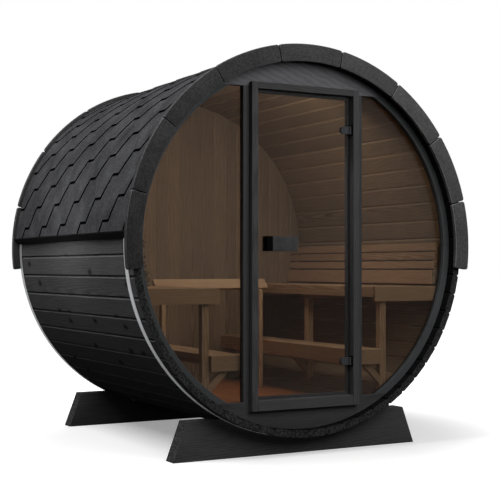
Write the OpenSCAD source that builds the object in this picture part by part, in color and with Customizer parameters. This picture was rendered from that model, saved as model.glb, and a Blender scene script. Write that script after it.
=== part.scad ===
// Barrel sauna: a coopered cabin of bevelled staves on two cradles, with a
// shingled half roof, a glazed front with a hinged glass door, and two-tier
// benches inside. X runs across, Y runs from the front to the back, Z is up.
// The origin is on the ground under the middle of the barrel.

/* [Barrel] */
// Outer radius of the barrel, over the corners of the staves
barrel_r = 1120; // [1060:5:1250]
// Number of staves round the barrel
stave_count = 58; // [54:2:72]
// Thickness of a stave
stave_t = 44; // [34:1:50]
// Bevel on the long edges of a stave, which makes the V-groove between two
stave_bevel = 4; // [2:0.5:8]
// Overall length over the two roof fascias
overall_l = 2010; // [1800:10:2600]
// Clear height under the barrel
ground_gap = 98; // [60:1:150]

/* [Cradles] */
// Thickness of a cradle beam
cradle_t = 99; // [60:1:140]
// Height of a cradle at its ends
cradle_h = 224; // [180:1:280]
// Length of a cradle along the ground
cradle_l = 1655; // [1500:1:1900]
// Length of a cradle along its top edge
cradle_top_l = 1488; // [1300:1:1490]
// Distance from the fascia's face to the cradle's outer face
cradle_inset = 126; // [110:1:300]

/* [Steel bands] */
// Width of a steel band
band_w = 44; // [20:1:48]
// Thickness of a steel band
band_t = 1.2; // [0.8:0.1:3]
// Distance from the front end of the staves to the front band
band_inset = 64; // [40:1:70]
// Distance from the rear end of the staves to the rear band
rear_band_inset = 8; // [4:1:70]

/* [Roof] */
// Thickness of the roof deck boards
deck_t = 12; // [10:1:28]
// Number of deck boards on each side of the ridge
deck_count = 14; // [10:1:18]
// Height of the roof's lower edge above the barrel's centre line
eave_h = 70; // [60:1:200]
// Height of the bevelled strip under the roof's lower edge
eave_strip_h = 41; // [30:1:55]
// Distance by which that strip stands out from the staves
eave_strip_t = 42; // [20:1:43]
// Thickness of one layer of shingle
shingle_t = 3.5; // [2:0.5:5]
// Height of each course of shingles that is left open to the weather
shingle_exposure = 137; // [100:1:180]

/* [Fascia] */
// Thickness of the curved fascia boards
fascia_t = 28; // [18:1:40]
// Radial width of the curved fascia boards
fascia_w = 101; // [85:1:110]
// Height of the fascia's outer edge above the staves
fascia_rise = 46; // [39:1:60]
// Number of curved boards in one fascia
fascia_count = 9; // [7:2:11]
// Angle that one curved board covers
fascia_step = 21.6; // [20:0.1:26]
// Open joint between two curved boards
fascia_joint = 3; // [1:0.5:6]

/* [Front wall] */
// Distance from the fascia's face back to the front of the wall frame
wall_setback = 82; // [78:1:160]
// Depth of the wall frame
wall_t = 40; // [38:1:70]
// Radial width of the curved wall frame
ring_w = 43; // [35:1:70]
// Width of the post beside the door
post_w = 40; // [35:1:70]
// Height of the lower panel above the barrel's lowest inner face
sill_h = 176; // [140:1:220]
// Depth of the upper panel below the barrel's highest inner face
head_h = 167; // [130:1:220]
// Thickness of the side glass
glass_t = 8; // [6:1:10]
// Distance from the wall frame's front to the side glass
glass_setback = 22; // [10:1:28]

/* [Door] */
// Width of the door frame
frame_w = 736; // [690:1:800]
// Distance by which the door frame stands in front of the wall frame
frame_proud = 31; // [20:1:40]
// Distance by which the door frame covers the upper panel
frame_lap_top = 24; // [10:1:50]
// Distance by which the door frame covers the lower panel
frame_lap_bottom = 53; // [20:1:70]
// Width of the door frame's uprights
stile_w = 41; // [36:1:65]
// Height of the door frame's head
frame_head = 38; // [30:1:60]
// Height of the door frame's sill
frame_sill = 60; // [40:1:80]
// Width of the stop that the door leaf closes against
stop_w = 18; // [10:1:22]
// Thickness of the glass door leaf
leaf_t = 8; // [6:1:10]
// Distance from the door frame's face back to the leaf
leaf_setback = 30; // [26:1:34]
// Clearance round the door leaf
leaf_gap = 6; // [5:0.5:9]
// Distance of each hinge from the end of the leaf
hinge_inset = 196; // [120:1:300]
// Height of a hinge clamp
hinge_h = 46; // [36:1:70]
// Length of a hinge clamp on the glass
hinge_l = 62; // [45:1:90]
// Height of the handle's middle above the floor
handle_h = 966; // [800:1:1100]
// Distance of the handle from the free edge of the leaf
handle_edge = 55; // [30:1:80]
// Length of the handle
handle_l = 210; // [160:1:300]
// Height of the handle
handle_w = 86; // [60:1:110]
// Length of the block that holds the handle's grip
handle_block_l = 39; // [30:1:80]
// Depth of the block that holds the handle's grip
handle_block_t = 24; // [20:1:36]

/* [Interior] */
// Height of the floor above the barrel's lowest inner face
floor_h = 116; // [100:1:134]
// Thickness of the floor boards
floor_t = 26; // [20:1:34]
// Distance from the rear fascia's face to the rear wall
rear_setback = 98; // [70:1:160]
// Thickness of the rear wall boards
rear_t = 42; // [28:1:50]
// Width of a rear wall board
rear_board_w = 94; // [80:1:120]
// Thickness of bench boards
board_t = 28; // [20:1:34]
// Height of the upper bench above the floor
upper_h = 713; // [650:1:760]
// Clear width between the two upper benches
upper_gap = 1076; // [1000:1:1160]
// Height of the lower bench above the floor
lower_h = 330; // [290:1:380]
// Clear width between the two lower benches
lower_gap = 768; // [740:1:850]
// Width of a bench slat
slat_w = 88; // [60:1:110]
// Open gap between two bench slats
slat_gap = 8; // [5:1:15]
// Height of the upright boards on the edges of the benches
apron_h = 92; // [70:1:110]
// Height of the rail under the upper bench's inner edge
rail_h = 38; // [30:1:60]
// Thickness of a bench leg
leg_t = 44; // [36:1:60]
// Distance from the middle of the cabin to the inner face of a leg
leg_x = 592; // [585:1:620]
// Width of the diagonal braces
brace_w = 38; // [30:1:50]
// Distance by which a brace reaches in from its leg
brace_reach = 130; // [110:1:150]
// Height of the backrest's lowest board above the upper bench
backrest_h = 12; // [8:1:60]
// Number of narrow slats above the backrest's lowest board
backrest_count = 3; // [2:1:5]
// Width of a narrow backrest slat
backrest_w = 47; // [36:1:60]
// Open gap between two backrest slats
backrest_gap = 10; // [6:1:20]
// Thickness of a backrest slat
backrest_t = 26; // [15:1:30]
// Distance from the wall to the face of the backrest
backrest_off = 80; // [60:1:120]
// Height of the guard rail's upper edge above the floor
guard_h = 752; // [650:1:820]
// Length of the guard rail
guard_l = 850; // [780:1:940]
// Distance from the guard rail's posts to the rear wall
guard_off = 583; // [450:1:700]
// Lean of the guard rail's board from upright
guard_lean = 40; // [10:1:55]
// Width of a guard rail post
guard_post_w = 28; // [24:1:44]

/* [Hidden] */
$fn = 48;
// Sides of the large round forms
round_sides = 288;
// Working gap between pieces that bear on each other
seat_gap = 0.3;
// Gap that keeps neighbouring boards apart as separate pieces
board_gap = 0.4;
// Oversize of cutting shapes
cut = 10;
// Clearance of a steel band over the corners of the staves
band_fit = 0.4;
// Height of the upright edge of the strip under the eave
eave_lip = 8;
RIDGE_ANGLE = 90;
STAVE_GROUPS = 6;

stave_half = 180 / stave_count;
stave_out = barrel_r * cos(stave_half);
stave_in = stave_out - stave_t;
function stave_half_w(v) = v * tan(stave_half) - board_gap / 2;
stave_corner_r = norm([stave_out, stave_half_w(stave_out) - stave_bevel]);
stave_l = overall_l - 2 * fascia_t - 2 * seat_gap;
centre_z = barrel_r + ground_gap;
fit_r = stave_in - seat_gap;

front_y = -overall_l / 2;
stave_front = front_y + fascia_t + seat_gap;
fascia_r = barrel_r + fascia_rise;
fascia_in = fascia_r - fascia_w;

band_in = stave_corner_r + band_fit;
deck_in = band_in + band_t + seat_gap;
deck_out = deck_in + deck_t;
deck_start = asin(eave_h / deck_in);
deck_step = (RIDGE_ANGLE - deck_start) / deck_count;
deck_half = deck_step / 2;
deck_corner_r = deck_out / cos(deck_half);
shingle_in = deck_corner_r + seat_gap;
course_step = 2 * asin(shingle_exposure / 2 / shingle_in);
course_count = floor((RIDGE_ANGLE - deck_start) / course_step);
course_angle = (RIDGE_ANGLE - deck_start) / course_count;

wall_front = front_y + wall_setback;
wall_back = wall_front + wall_t;
sill_z = centre_z - stave_in + sill_h;
head_z = centre_z + stave_in - head_h;
ring_in = fit_r - ring_w;
glass_front = wall_front + glass_setback;

frame_front = wall_front - frame_proud;
frame_bottom = sill_z - frame_lap_bottom;
frame_top = head_z + frame_lap_top;
frame_half = frame_w / 2;
post_x0 = frame_half + seat_gap;
post_x1 = post_x0 + post_w;
reveal_x = frame_half - stile_w;
reveal_bottom = frame_bottom + frame_sill;
reveal_top = frame_top - frame_head;
leaf_front = frame_front + leaf_setback;
leaf_back = leaf_front + leaf_t;
stop_gap = 8;
stop_front = leaf_back + stop_gap;
leaf_half = reveal_x - leaf_gap;
leaf_bottom = reveal_bottom + leaf_gap;
leaf_top = reveal_top - leaf_gap;

hinge_r = 7;
hinge_off_x = 12;
hinge_off_y = 10;
hinge_x = reveal_x - hinge_off_x;
hinge_y = leaf_front - hinge_off_y;
hinge_base_t = 3.5;
hinge_lug = 9;
clamp_t = 6;
hinge_plate_t = 4;
hinge_zs = [leaf_bottom + hinge_inset, leaf_top - hinge_inset];

floor_z = centre_z - stave_in + floor_h;
rear_front = -front_y - rear_setback - rear_t;
handle_z = floor_z + handle_h;
handle_x = -leaf_half + handle_edge;
grip_near = 8;
grip_far = 19;
grip_toe = 13;

bench_gap = 2;
bench_front = wall_back + bench_gap;
bench_back = rear_front - seat_gap;
upper_z = floor_z + upper_h;
lower_z = floor_z + lower_h;
slat_bottom = upper_z - board_t;
bearer_z = upper_z - apron_h;
lower_board_z = lower_z - board_t;
lower_apron_z = lower_z - apron_h;
leg_out = leg_x + leg_t;
upper_x = upper_gap / 2;
lower_x = lower_gap / 2;
slats_front = bench_front + board_t + board_gap;
leg_ys = [slats_front, (slats_front + bench_back - leg_t) / 2, bench_back - leg_t - seat_gap];
function wall_x(z) = sqrt(fit_r * fit_r - (z - centre_z) * (z - centre_z));
upper_count = floor((wall_x(slat_bottom) - upper_x + slat_gap) / (slat_w + slat_gap));
lower_room = leg_x - lower_x - board_t - 2 * board_gap;
lower_count = max(1, round(lower_room / (slat_w + slat_gap)));
lower_pitch = (lower_room + slat_gap) / lower_count;

backrest_z = upper_z + backrest_h;
backrest_slats = [
    [backrest_z, slat_w],
    for (i = [0:backrest_count - 1])
        [backrest_z + slat_w + backrest_gap + i * (backrest_w + backrest_gap), backrest_w]
];
function backrest_x(slat) = min(wall_x(slat[0]), wall_x(slat[0] + slat[1])) - backrest_off;
guard_y = rear_front - guard_off - leg_t;
guard_board_w = 80;
guard_low = floor_z + guard_h - guard_board_w * cos(guard_lean);
guard_notch = 18;

BLACK_WOOD = [0.16, 0.16, 0.16];
PALE_WOOD = [0.72, 0.55, 0.38];
BRONZE_GLASS = [0.35, 0.28, 0.22, 0.5];
STEEL = [0.75, 0.76, 0.78];
BITUMEN = [0.2, 0.2, 0.21];
BLACK_METAL = [0.08, 0.08, 0.08];

// Shared shapes

// A flat outline in X and Z, run along Y from y0 to y1
module along_y(y0, y1) {
    translate([0, y1, 0])
        rotate([90, 0, 0])
            linear_extrude(y1 - y0)
                children();
}

// The same, with the outline measured from the barrel's centre line
module along_barrel(y0, y1) {
    translate([0, 0, centre_z])
        along_y(y0, y1)
            children();
}

// A solid cylinder on the barrel's centre line
module barrel_core(r, y0, y1) {
    translate([0, y1, centre_z])
        rotate([90, 0, 0])
            cylinder(r = r, h = y1 - y0, $fn = round_sides);
}

// A block between two opposite corners
module block(low, high) {
    translate(low)
        cube(high - low);
}

// One side as drawn, on the right, or mirrored to the left
module on_side(side) {
    mirror([side == "left" ? 1 : 0, 0, 0])
        children();
}

// A front piece, turned over to the rear end
module at_rear() {
    mirror([0, 1, 0])
        children();
}

// A sector of angle from a0 to a1, wide enough to hold radius r
module sector(a0, a1, r) {
    reach = r / cos((a1 - a0) / 2);
    polygon([[0, 0], reach * [cos(a0), sin(a0)], reach * [cos(a1), sin(a1)]]);
}

// A curved board between two radii, cut on radial lines
module arc_board(r0, r1, a0, a1, y0, y1) {
    intersection() {
        difference() {
            barrel_core(r1, y0, y1);
            barrel_core(r0, y0 - cut, y1 + cut);
        }
        along_barrel(y0 - cut, y1 + cut)
            sector(a0, a1, r1 + cut);
    }
}

// Barrel and cradles

// Section of one stave standing on the X axis, bevelled on its four long edges
module stave_section() {
    b = stave_bevel;
    wide = stave_half_w(stave_out);
    narrow = stave_half_w(stave_in);
    polygon([
        [stave_in, b - narrow], [stave_in + b, -stave_half_w(stave_in + b)],
        [stave_out - b, -stave_half_w(stave_out - b)], [stave_out, b - wide],
        [stave_out, wide - b], [stave_out - b, stave_half_w(stave_out - b)],
        [stave_in + b, stave_half_w(stave_in + b)], [stave_in, narrow - b]
    ]);
}

// One group of staves, counted from the bottom and turning towards +X
module staves(group) {
    first = floor(group * stave_count / STAVE_GROUPS);
    last = floor((group + 1) * stave_count / STAVE_GROUPS) - 1;
    color(BLACK_WOOD)
        for (i = [first:last])
            along_barrel(stave_front, stave_front + stave_l)
                rotate((i + 0.5) * 2 * stave_half - 90)
                    stave_section();
}

// A cradle beam with sloped ends and a seat cut to the barrel, rebated where the band runs through
module cradle(inset) {
    y0 = front_y + cradle_inset;
    y1 = y0 + cradle_t;
    band_y = stave_front + inset;
    color(BLACK_WOOD)
        difference() {
            along_y(y0, y1)
                polygon([
                    [-cradle_l / 2, 0], [cradle_l / 2, 0],
                    [cradle_top_l / 2, cradle_h], [-cradle_top_l / 2, cradle_h]
                ]);
            barrel_core(stave_corner_r + seat_gap, y0 - cut, y1 + cut);
            barrel_core(band_in + band_t + seat_gap, band_y - seat_gap, band_y + band_w + seat_gap);
        }
}

module cradle_front() { cradle(band_inset); }
module cradle_rear() { at_rear() cradle(rear_band_inset); }

// A steel hoop drawn tight round the staves
module band(inset) {
    y0 = stave_front + inset;
    y1 = y0 + band_w;
    color(STEEL)
        difference() {
            barrel_core(band_in + band_t, y0, y1);
            barrel_core(band_in, y0 - cut, y1 + cut);
        }
}

module band_front() { band(band_inset); }
module band_rear() { at_rear() band(rear_band_inset); }

// Roof

// Section of one deck board standing on the X axis
module deck_section() {
    w0 = deck_in * tan(deck_half) - board_gap / 2;
    w1 = deck_out * tan(deck_half) - board_gap / 2;
    polygon([[deck_in, -w0], [deck_out, -w1], [deck_out, w1], [deck_in, w0]]);
}

// The deck boards from the eave to the ridge
module roof_deck(side) {
    color(BLACK_WOOD)
        on_side(side)
            for (i = [0:deck_count - 1])
                along_barrel(stave_front, stave_front + stave_l)
                    rotate(deck_start + (i + 0.5) * deck_step)
                        deck_section();
}

// The strip that carries the eave, with its underside cut to throw water off
module eave_strips() {
    top = deck_in * sin(deck_start) - board_gap;
    low = top - eave_strip_h;
    inner = band_in + band_t + seat_gap;
    outer = (deck_in + eave_strip_t) * cos(deck_start);
    color(BLACK_WOOD)
        for (side = ["left", "right"])
            on_side(side)
                along_barrel(stave_front, stave_front + stave_l)
                    polygon([[inner, low], [outer, top - eave_lip], [outer, top], [inner, top]]);
}

// The lapped courses of shingle, each one tipped out over the course below
module shingles(side) {
    function at(r, a) = r * [cos(a), sin(a)];
    edge = shingle_in + 2 * shingle_t;
    head = shingle_in + shingle_t;
    flat_r = shingle_in / cos(course_angle / 4);
    inner = [for (i = [course_count * 2:-1:0]) at(flat_r, deck_start + i * course_angle / 2)];
    outer = [
        for (i = [0:course_count - 1])
            for (j = [0:2])
                at(edge + (head - edge) * j / 2, deck_start + (i + j / 2) * course_angle)
    ];
    trim = board_gap / 2;
    color(BITUMEN)
        on_side(side)
            along_barrel(stave_front, stave_front + stave_l)
                intersection() {
                    polygon(concat(outer, inner));
                    translate([trim, 0])
                        square(fascia_r);
                }
}

// The row of curved boards that covers the ends of the staves and the roof
module fascia_front() {
    joint_angle = fascia_joint / fascia_r * 180 / PI;
    start = RIDGE_ANGLE - fascia_count * fascia_step / 2;
    color(BLACK_WOOD)
        for (i = [0:fascia_count - 1])
            arc_board(
                fascia_in, fascia_r,
                start + i * fascia_step + joint_angle / 2, start + (i + 1) * fascia_step - joint_angle / 2,
                front_y, front_y + fascia_t
            );
}

module fascia_rear() { at_rear() fascia_front(); }

// Front wall

// A slice of the barrel's round section between two heights, less the doorway
module wall_panel(z0, z1) {
    color(BLACK_WOOD)
        difference() {
            intersection() {
                barrel_core(fit_r, wall_front, wall_back);
                block([-barrel_r, wall_front - cut, z0], [barrel_r, wall_back + cut, z1]);
            }
            block(
                [-frame_half - seat_gap, wall_front - cut, frame_bottom - seat_gap],
                [frame_half + seat_gap, wall_back + cut, frame_top + seat_gap]
            );
        }
}

module front_head_panel() { wall_panel(head_z, centre_z + barrel_r); }
module front_sill_panel() { wall_panel(ground_gap, sill_z); }

// The curved frame round one side glass, in short curved lengths
module front_ring(side) {
    lengths = 4;
    low = asin((sill_z - centre_z) / fit_r);
    high = asin((head_z - centre_z) / fit_r);
    step = (high - low) / lengths;
    trim = board_gap / fit_r * 90 / PI;
    color(BLACK_WOOD)
        on_side(side)
            intersection() {
                union()
                    for (i = [0:lengths - 1])
                        arc_board(
                            ring_in, fit_r,
                            low + i * step + (i == 0 ? -step / 2 : trim),
                            low + (i + 1) * step + (i == lengths - 1 ? step / 2 : -trim),
                            wall_front, wall_back
                        );
                block(
                    [post_x1 + board_gap, wall_front - cut, sill_z + board_gap],
                    [barrel_r, wall_back + cut, head_z - board_gap]
                );
            }
}

// The upright between the door frame and the side glass
module front_post(side) {
    color(BLACK_WOOD)
        on_side(side)
            block([post_x0, wall_front, sill_z + board_gap], [post_x1, wall_back, head_z - board_gap]);
}

// A fixed pane that fills the space between post, ring and panels
module side_glass(side) {
    color(BRONZE_GLASS)
        on_side(side)
            intersection() {
                barrel_core(ring_in - seat_gap, glass_front, glass_front + glass_t);
                block(
                    [post_x1 + seat_gap, glass_front - cut, sill_z + seat_gap],
                    [barrel_r, glass_front + glass_t + cut, head_z - seat_gap]
                );
            }
}

// Door

// The two uprights, each with the stop behind the leaf
module door_jambs() {
    color(BLACK_WOOD)
        for (side = ["left", "right"])
            on_side(side)
                union() {
                    block([reveal_x, frame_front, frame_bottom], [frame_half, wall_back, frame_top]);
                    block(
                        [reveal_x - stop_w, stop_front, reveal_bottom + board_gap],
                        [frame_half, wall_back, reveal_top - board_gap]
                    );
                }
}

// The cross member over the door, with its stop
module door_head() {
    half = reveal_x - board_gap;
    color(BLACK_WOOD)
        union() {
            block([-half, frame_front, reveal_top], [half, wall_back, frame_top]);
            block(
                [stop_w - half, stop_front, reveal_top - stop_w],
                [half - stop_w, wall_back, frame_top]
            );
        }
}

// The cross member under the door, with its stop
module door_sill() {
    half = reveal_x - board_gap;
    color(BLACK_WOOD)
        union() {
            block([-half, frame_front, frame_bottom], [half, wall_back, reveal_bottom]);
            block(
                [stop_w - half, stop_front, frame_bottom],
                [half - stop_w, wall_back, reveal_bottom + stop_w]
            );
        }
}

// A pivot knuckle of a hinge, between two heights
module knuckle(z0, z1) {
    translate([hinge_x, hinge_y, z0])
        cylinder(r = hinge_r, h = z1 - z0);
}

// The hinge parts that stay on the frame: a base on the jamb with a lug above and below the clamp
module hinge_brackets() {
    reach = hinge_h / 2 + board_gap;
    color(BLACK_METAL)
        for (z = hinge_zs)
            union() {
                for (low = [z - reach - hinge_lug, z + reach]) {
                    knuckle(low, low + hinge_lug);
                    block(
                        [hinge_x, hinge_y - hinge_r, low],
                        [reveal_x - seat_gap, hinge_y + hinge_r, low + hinge_lug]
                    );
                }
                block(
                    [reveal_x - hinge_base_t, hinge_y - 2 * hinge_r, z - reach - hinge_lug],
                    [reveal_x - seat_gap, hinge_y + hinge_r, z + reach + hinge_lug]
                );
            }
}

// The hinge parts that move with the leaf: a clamp plate on each face and the turning knuckle
module hinge_clamps() {
    color(BLACK_METAL)
        for (z = hinge_zs) {
            union() {
                knuckle(z - hinge_h / 2, z + hinge_h / 2);
                block(
                    [hinge_x - hinge_l + hinge_h / 2, leaf_front - clamp_t, z - hinge_h / 2],
                    [hinge_x, leaf_front - seat_gap, z + hinge_h / 2]
                );
                translate([hinge_x - hinge_l + hinge_h / 2, leaf_front - seat_gap, z])
                    rotate([90, 0, 0])
                        cylinder(d = hinge_h, h = clamp_t - seat_gap);
            }
            translate([hinge_x - hinge_l + hinge_h / 2, leaf_back + hinge_plate_t, z])
                rotate([90, 0, 0])
                    cylinder(d = hinge_h, h = hinge_plate_t - seat_gap);
        }
}

// The toughened glass leaf
module door_glass() {
    color(BRONZE_GLASS)
        block([-leaf_half, leaf_front, leaf_bottom], [leaf_half, leaf_back, leaf_top]);
}

// A flat outline in Y and Z, run along X from x0 to x1
module along_x(x0, x1) {
    translate([x0, 0, 0])
        rotate([90, 0, 90])
            linear_extrude(x1 - x0)
                children();
}

// A handle: a block against the glass that holds a grip, which stands off the glass and slopes back below
module handle() {
    low = handle_z - handle_w / 2;
    high = handle_z + handle_w / 2;
    color(BLACK_METAL)
        union() {
            block([handle_x, seat_gap, low], [handle_x + handle_block_l, handle_block_t, high]);
            along_x(handle_x + handle_block_l / 2, handle_x + handle_l)
                polygon([
                    [grip_near, low], [grip_toe, low], [grip_far, low + handle_w / 3],
                    [grip_far, high], [grip_near, high]
                ]);
        }
}

module handle_outside() {
    translate([0, leaf_front, 0])
        mirror([0, 1, 0])
            handle();
}

module handle_inside() {
    translate([0, leaf_back, 0])
        handle();
}

// Interior

// The upright boards of the rear wall, cut to the barrel
module rear_wall() {
    half_count = ceil(fit_r / rear_board_w);
    bevel = 3;
    half = (rear_board_w - board_gap) / 2;
    color(BLACK_WOOD)
        intersection() {
            barrel_core(fit_r, rear_front, rear_front + rear_t);
            for (i = [-half_count:half_count])
                translate([i * rear_board_w, rear_front, 0])
                    linear_extrude(centre_z + barrel_r)
                        polygon([
                            [-half + bevel, 0], [half - bevel, 0], [half, bevel], [half, rear_t - bevel],
                            [half - bevel, rear_t], [bevel - half, rear_t], [-half, rear_t - bevel], [-half, bevel]
                        ]);
        }
}

// The floor, bedded on the staves at both edges
module floor() {
    color(PALE_WOOD)
        intersection() {
            barrel_core(fit_r, wall_back + seat_gap, rear_front - seat_gap);
            block([-barrel_r, front_y, floor_z - floor_t], [barrel_r, -front_y, floor_z]);
        }
}

// Slats on the upper bench, with an apron across the front and a rail along the inner edge
module upper_bench(side) {
    color(PALE_WOOD)
        on_side(side) {
            for (i = [0:upper_count - 1])
                translate([upper_x + i * (slat_w + slat_gap), 0, 0])
                    block([0, slats_front, slat_bottom], [slat_w, bench_back, upper_z]);
            intersection() {
                barrel_core(fit_r, front_y, -front_y);
                block([upper_x, bench_front, bearer_z], [barrel_r, bench_front + board_t, upper_z]);
            }
            block(
                [upper_x, slats_front, slat_bottom - rail_h],
                [upper_x + board_t, bench_back, slat_bottom - board_gap]
            );
        }
}

// The lower bench, which is also the step: slats behind an apron on two sides
module lower_bench(side) {
    color(PALE_WOOD)
        on_side(side) {
            block([lower_x, bench_front, lower_apron_z], [leg_x - seat_gap, bench_front + board_t, lower_z]);
            block([lower_x, slats_front, lower_apron_z], [lower_x + board_t, bench_back, lower_z]);
            for (i = [0:lower_count - 1])
                translate([lower_x + board_t + board_gap + i * lower_pitch, 0, 0])
                    block([0, slats_front, lower_board_z], [lower_pitch - slat_gap, bench_back, lower_z]);
        }
}

// Legs down to the staves, with bearers under both benches and a brace to each
module bench_legs(side) {
    color(PALE_WOOD)
        on_side(side)
            intersection() {
                barrel_core(fit_r, front_y, -front_y);
                for (i = [0:2])
                    translate([0, leg_ys[i], 0])
                        bench_trestle(i > 0);
            }
}

// One leg with its brace, and the bearers that an inner trestle has
module bench_trestle(inner) {
    toe = brace_w * sqrt(2);
    brace_top = lower_apron_z - board_gap;
    brace_back = leg_x - board_gap;
    leg_top = inner ? bearer_z : slat_bottom;
    block([leg_x, 0, ground_gap], [leg_out, leg_t, leg_top - board_gap]);
    along_y(0, board_t)
        polygon([
            [brace_back, brace_top - brace_reach], [leg_x - brace_reach, brace_top],
            [leg_x - brace_reach + toe, brace_top], [brace_back, brace_top - brace_reach + toe]
        ]);
    if (inner) {
        block([upper_x + board_t + board_gap, 0, bearer_z], [barrel_r, leg_t, slat_bottom - board_gap]);
        block(
            [lower_x + board_t + board_gap, 0, lower_apron_z],
            [leg_x - board_gap, leg_t, lower_board_z - board_gap]
        );
    }
}

// Level slats that follow the curve of the wall, in front of stepped battens on the staves
module backrest(side) {
    top = backrest_slats[backrest_count];
    color(PALE_WOOD)
        on_side(side) {
            for (slat = backrest_slats)
                translate([backrest_x(slat), 0, slat[0]])
                    block([0, bench_front, 0], [backrest_t, bench_back, slat[1]]);
            intersection() {
                barrel_core(fit_r, front_y, -front_y);
                for (y = leg_ys)
                    along_y(y, y + board_t)
                        polygon([
                            for (slat = backrest_slats)
                                for (z = [slat[0], slat[0] + slat[1]])
                                    [backrest_x(slat) + backrest_t + board_gap, z],
                            [barrel_r, top[0] + top[1]], [barrel_r, backrest_z]
                        ]);
            }
        }
}

// The space that the leaning rail board takes, grown all round by a clearance
module guard_board(grow) {
    translate([-guard_l / 2, guard_y, guard_low])
        rotate([-guard_lean, 0, 0])
            block([-grow, -grow, -grow], [guard_l + grow, board_t + grow, guard_board_w + grow]);
}

// A leaning rail on two posts fixed to the lower benches, each post notched for the board
module guard_rail() {
    post_x = lower_x - seat_gap - guard_post_w;
    color(PALE_WOOD) {
        for (side = ["left", "right"])
            on_side(side)
                difference() {
                    block(
                        [post_x, guard_y, floor_z + seat_gap],
                        [post_x + guard_post_w, guard_y + leg_t, guard_low + guard_notch]
                    );
                    guard_board(board_gap);
                    translate([0, -guard_notch, 0])
                        guard_board(board_gap);
                }
        guard_board(0);
    }
}

cradle_front();
cradle_rear();
staves(0);  // staves_1
staves(1);  // staves_2
staves(2);  // staves_3
staves(3);  // staves_4
staves(4);  // staves_5
staves(5);  // staves_6
band_front();
band_rear();
roof_deck("left");  // roof_deck_left
roof_deck("right");  // roof_deck_right
eave_strips();
shingles("left");  // shingles_left
shingles("right");  // shingles_right
fascia_front();
fascia_rear();
front_head_panel();
front_sill_panel();
front_ring("left");  // front_ring_left
front_ring("right");  // front_ring_right
front_post("left");  // front_post_left
front_post("right");  // front_post_right
side_glass("left");  // side_glass_left
side_glass("right");  // side_glass_right
door_jambs();
door_head();
door_sill();
hinge_brackets();
rear_wall();
floor();
upper_bench("left");  // upper_bench_left
upper_bench("right");  // upper_bench_right
lower_bench("left");  // lower_bench_left
lower_bench("right");  // lower_bench_right
bench_legs("left");  // bench_legs_left
bench_legs("right");  // bench_legs_right
backrest("left");  // backrest_left
backrest("right");  // backrest_right
guard_rail();
door_glass();
hinge_clamps();
handle_outside();
handle_inside();
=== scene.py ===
"""Dresses the barrel sauna: staves, shingles, curved boards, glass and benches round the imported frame.

All sizes are in metres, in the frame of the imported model: X across, Y from the front to the back, Z up.
"""

import logging
import math
from dataclasses import dataclass, field
from enum import Enum
from typing import Any, Mapping, Sequence, Union

import bmesh
import bpy
import numpy as np
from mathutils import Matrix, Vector


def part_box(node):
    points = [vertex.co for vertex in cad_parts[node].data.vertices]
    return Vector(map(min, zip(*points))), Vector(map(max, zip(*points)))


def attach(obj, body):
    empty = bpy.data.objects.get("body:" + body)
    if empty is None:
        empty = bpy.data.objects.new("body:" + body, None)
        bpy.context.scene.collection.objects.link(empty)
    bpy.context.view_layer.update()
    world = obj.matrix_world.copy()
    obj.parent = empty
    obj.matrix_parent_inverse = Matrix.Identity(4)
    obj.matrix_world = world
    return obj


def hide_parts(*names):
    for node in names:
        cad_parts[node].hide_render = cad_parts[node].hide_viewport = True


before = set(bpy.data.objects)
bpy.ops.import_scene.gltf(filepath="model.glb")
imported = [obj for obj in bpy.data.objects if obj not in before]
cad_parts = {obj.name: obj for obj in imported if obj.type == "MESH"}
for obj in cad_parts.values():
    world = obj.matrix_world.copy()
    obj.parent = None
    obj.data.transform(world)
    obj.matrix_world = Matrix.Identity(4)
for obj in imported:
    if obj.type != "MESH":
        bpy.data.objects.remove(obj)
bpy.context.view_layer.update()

LOG = logging.getLogger("barrel_sauna")
MM = 0.001
# A face is an end if it looks along its board by more than this, and an eased edge if it looks along no axis
END_TILT = 0.7
FLAT_TILT = 0.93
# A link starts at a socket, or at a node's first output
Link = Union[bpy.types.Node, bpy.types.NodeSocket]
# The kind of input that carries a value of each type
SOCKETS: Mapping[type, str] = {
    int: "NodeSocketInt", float: "NodeSocketFloat", bpy.types.Object: "NodeSocketObject",
    bpy.types.Material: "NodeSocketMaterial",
}


class Body(Enum):
    """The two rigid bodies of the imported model."""

    SAUNA = "sauna"
    DOOR = "door"


class Slot(Enum):
    """The record's material slots."""

    BLACK_WOOD = "black_wood"
    NATURAL_WOOD = "natural_wood"
    GLASS = "bronze_glass"
    STEEL = "band_steel"
    SHINGLE = "shingle"
    METAL = "black_metal"


class Side(Enum):
    """The two sides of the cabin, as the sign of X."""

    LEFT = -1
    RIGHT = 1


# Shared helpers


def hex_linear(code: str) -> tuple[float, float, float, float]:
    """Turns an sRGB hex colour into a linear one.

    Args:
        code: Six hex digits, with or without a leading hash.

    Returns:
        Linear red, green, blue and an alpha of 1.
    """
    parts = [int(code.lstrip("#")[i:i + 2], 16) / 255 for i in (0, 2, 4)]
    linear = [p / 12.92 if p <= 0.04045 else ((p + 0.055) / 1.055) ** 2.4 for p in parts]
    return (linear[0], linear[1], linear[2], 1.0)


def set_inputs(tree: bpy.types.NodeTree, node: bpy.types.Node, inputs: Mapping[Any, Any]) -> None:
    """Sets or links the inputs of a node.

    Args:
        tree: The node's tree.
        node: The node.
        inputs: Input name or number to a value, a socket, a node that gives its first output, or a list of links.
    """
    for key, value in inputs.items():
        for item in value if isinstance(value, list) else [value]:
            if isinstance(item, bpy.types.Node):
                tree.links.new(item.outputs[0], node.inputs[key])
            elif isinstance(item, bpy.types.NodeSocket):
                tree.links.new(item, node.inputs[key])
            else:
                node.inputs[key].default_value = item


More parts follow.
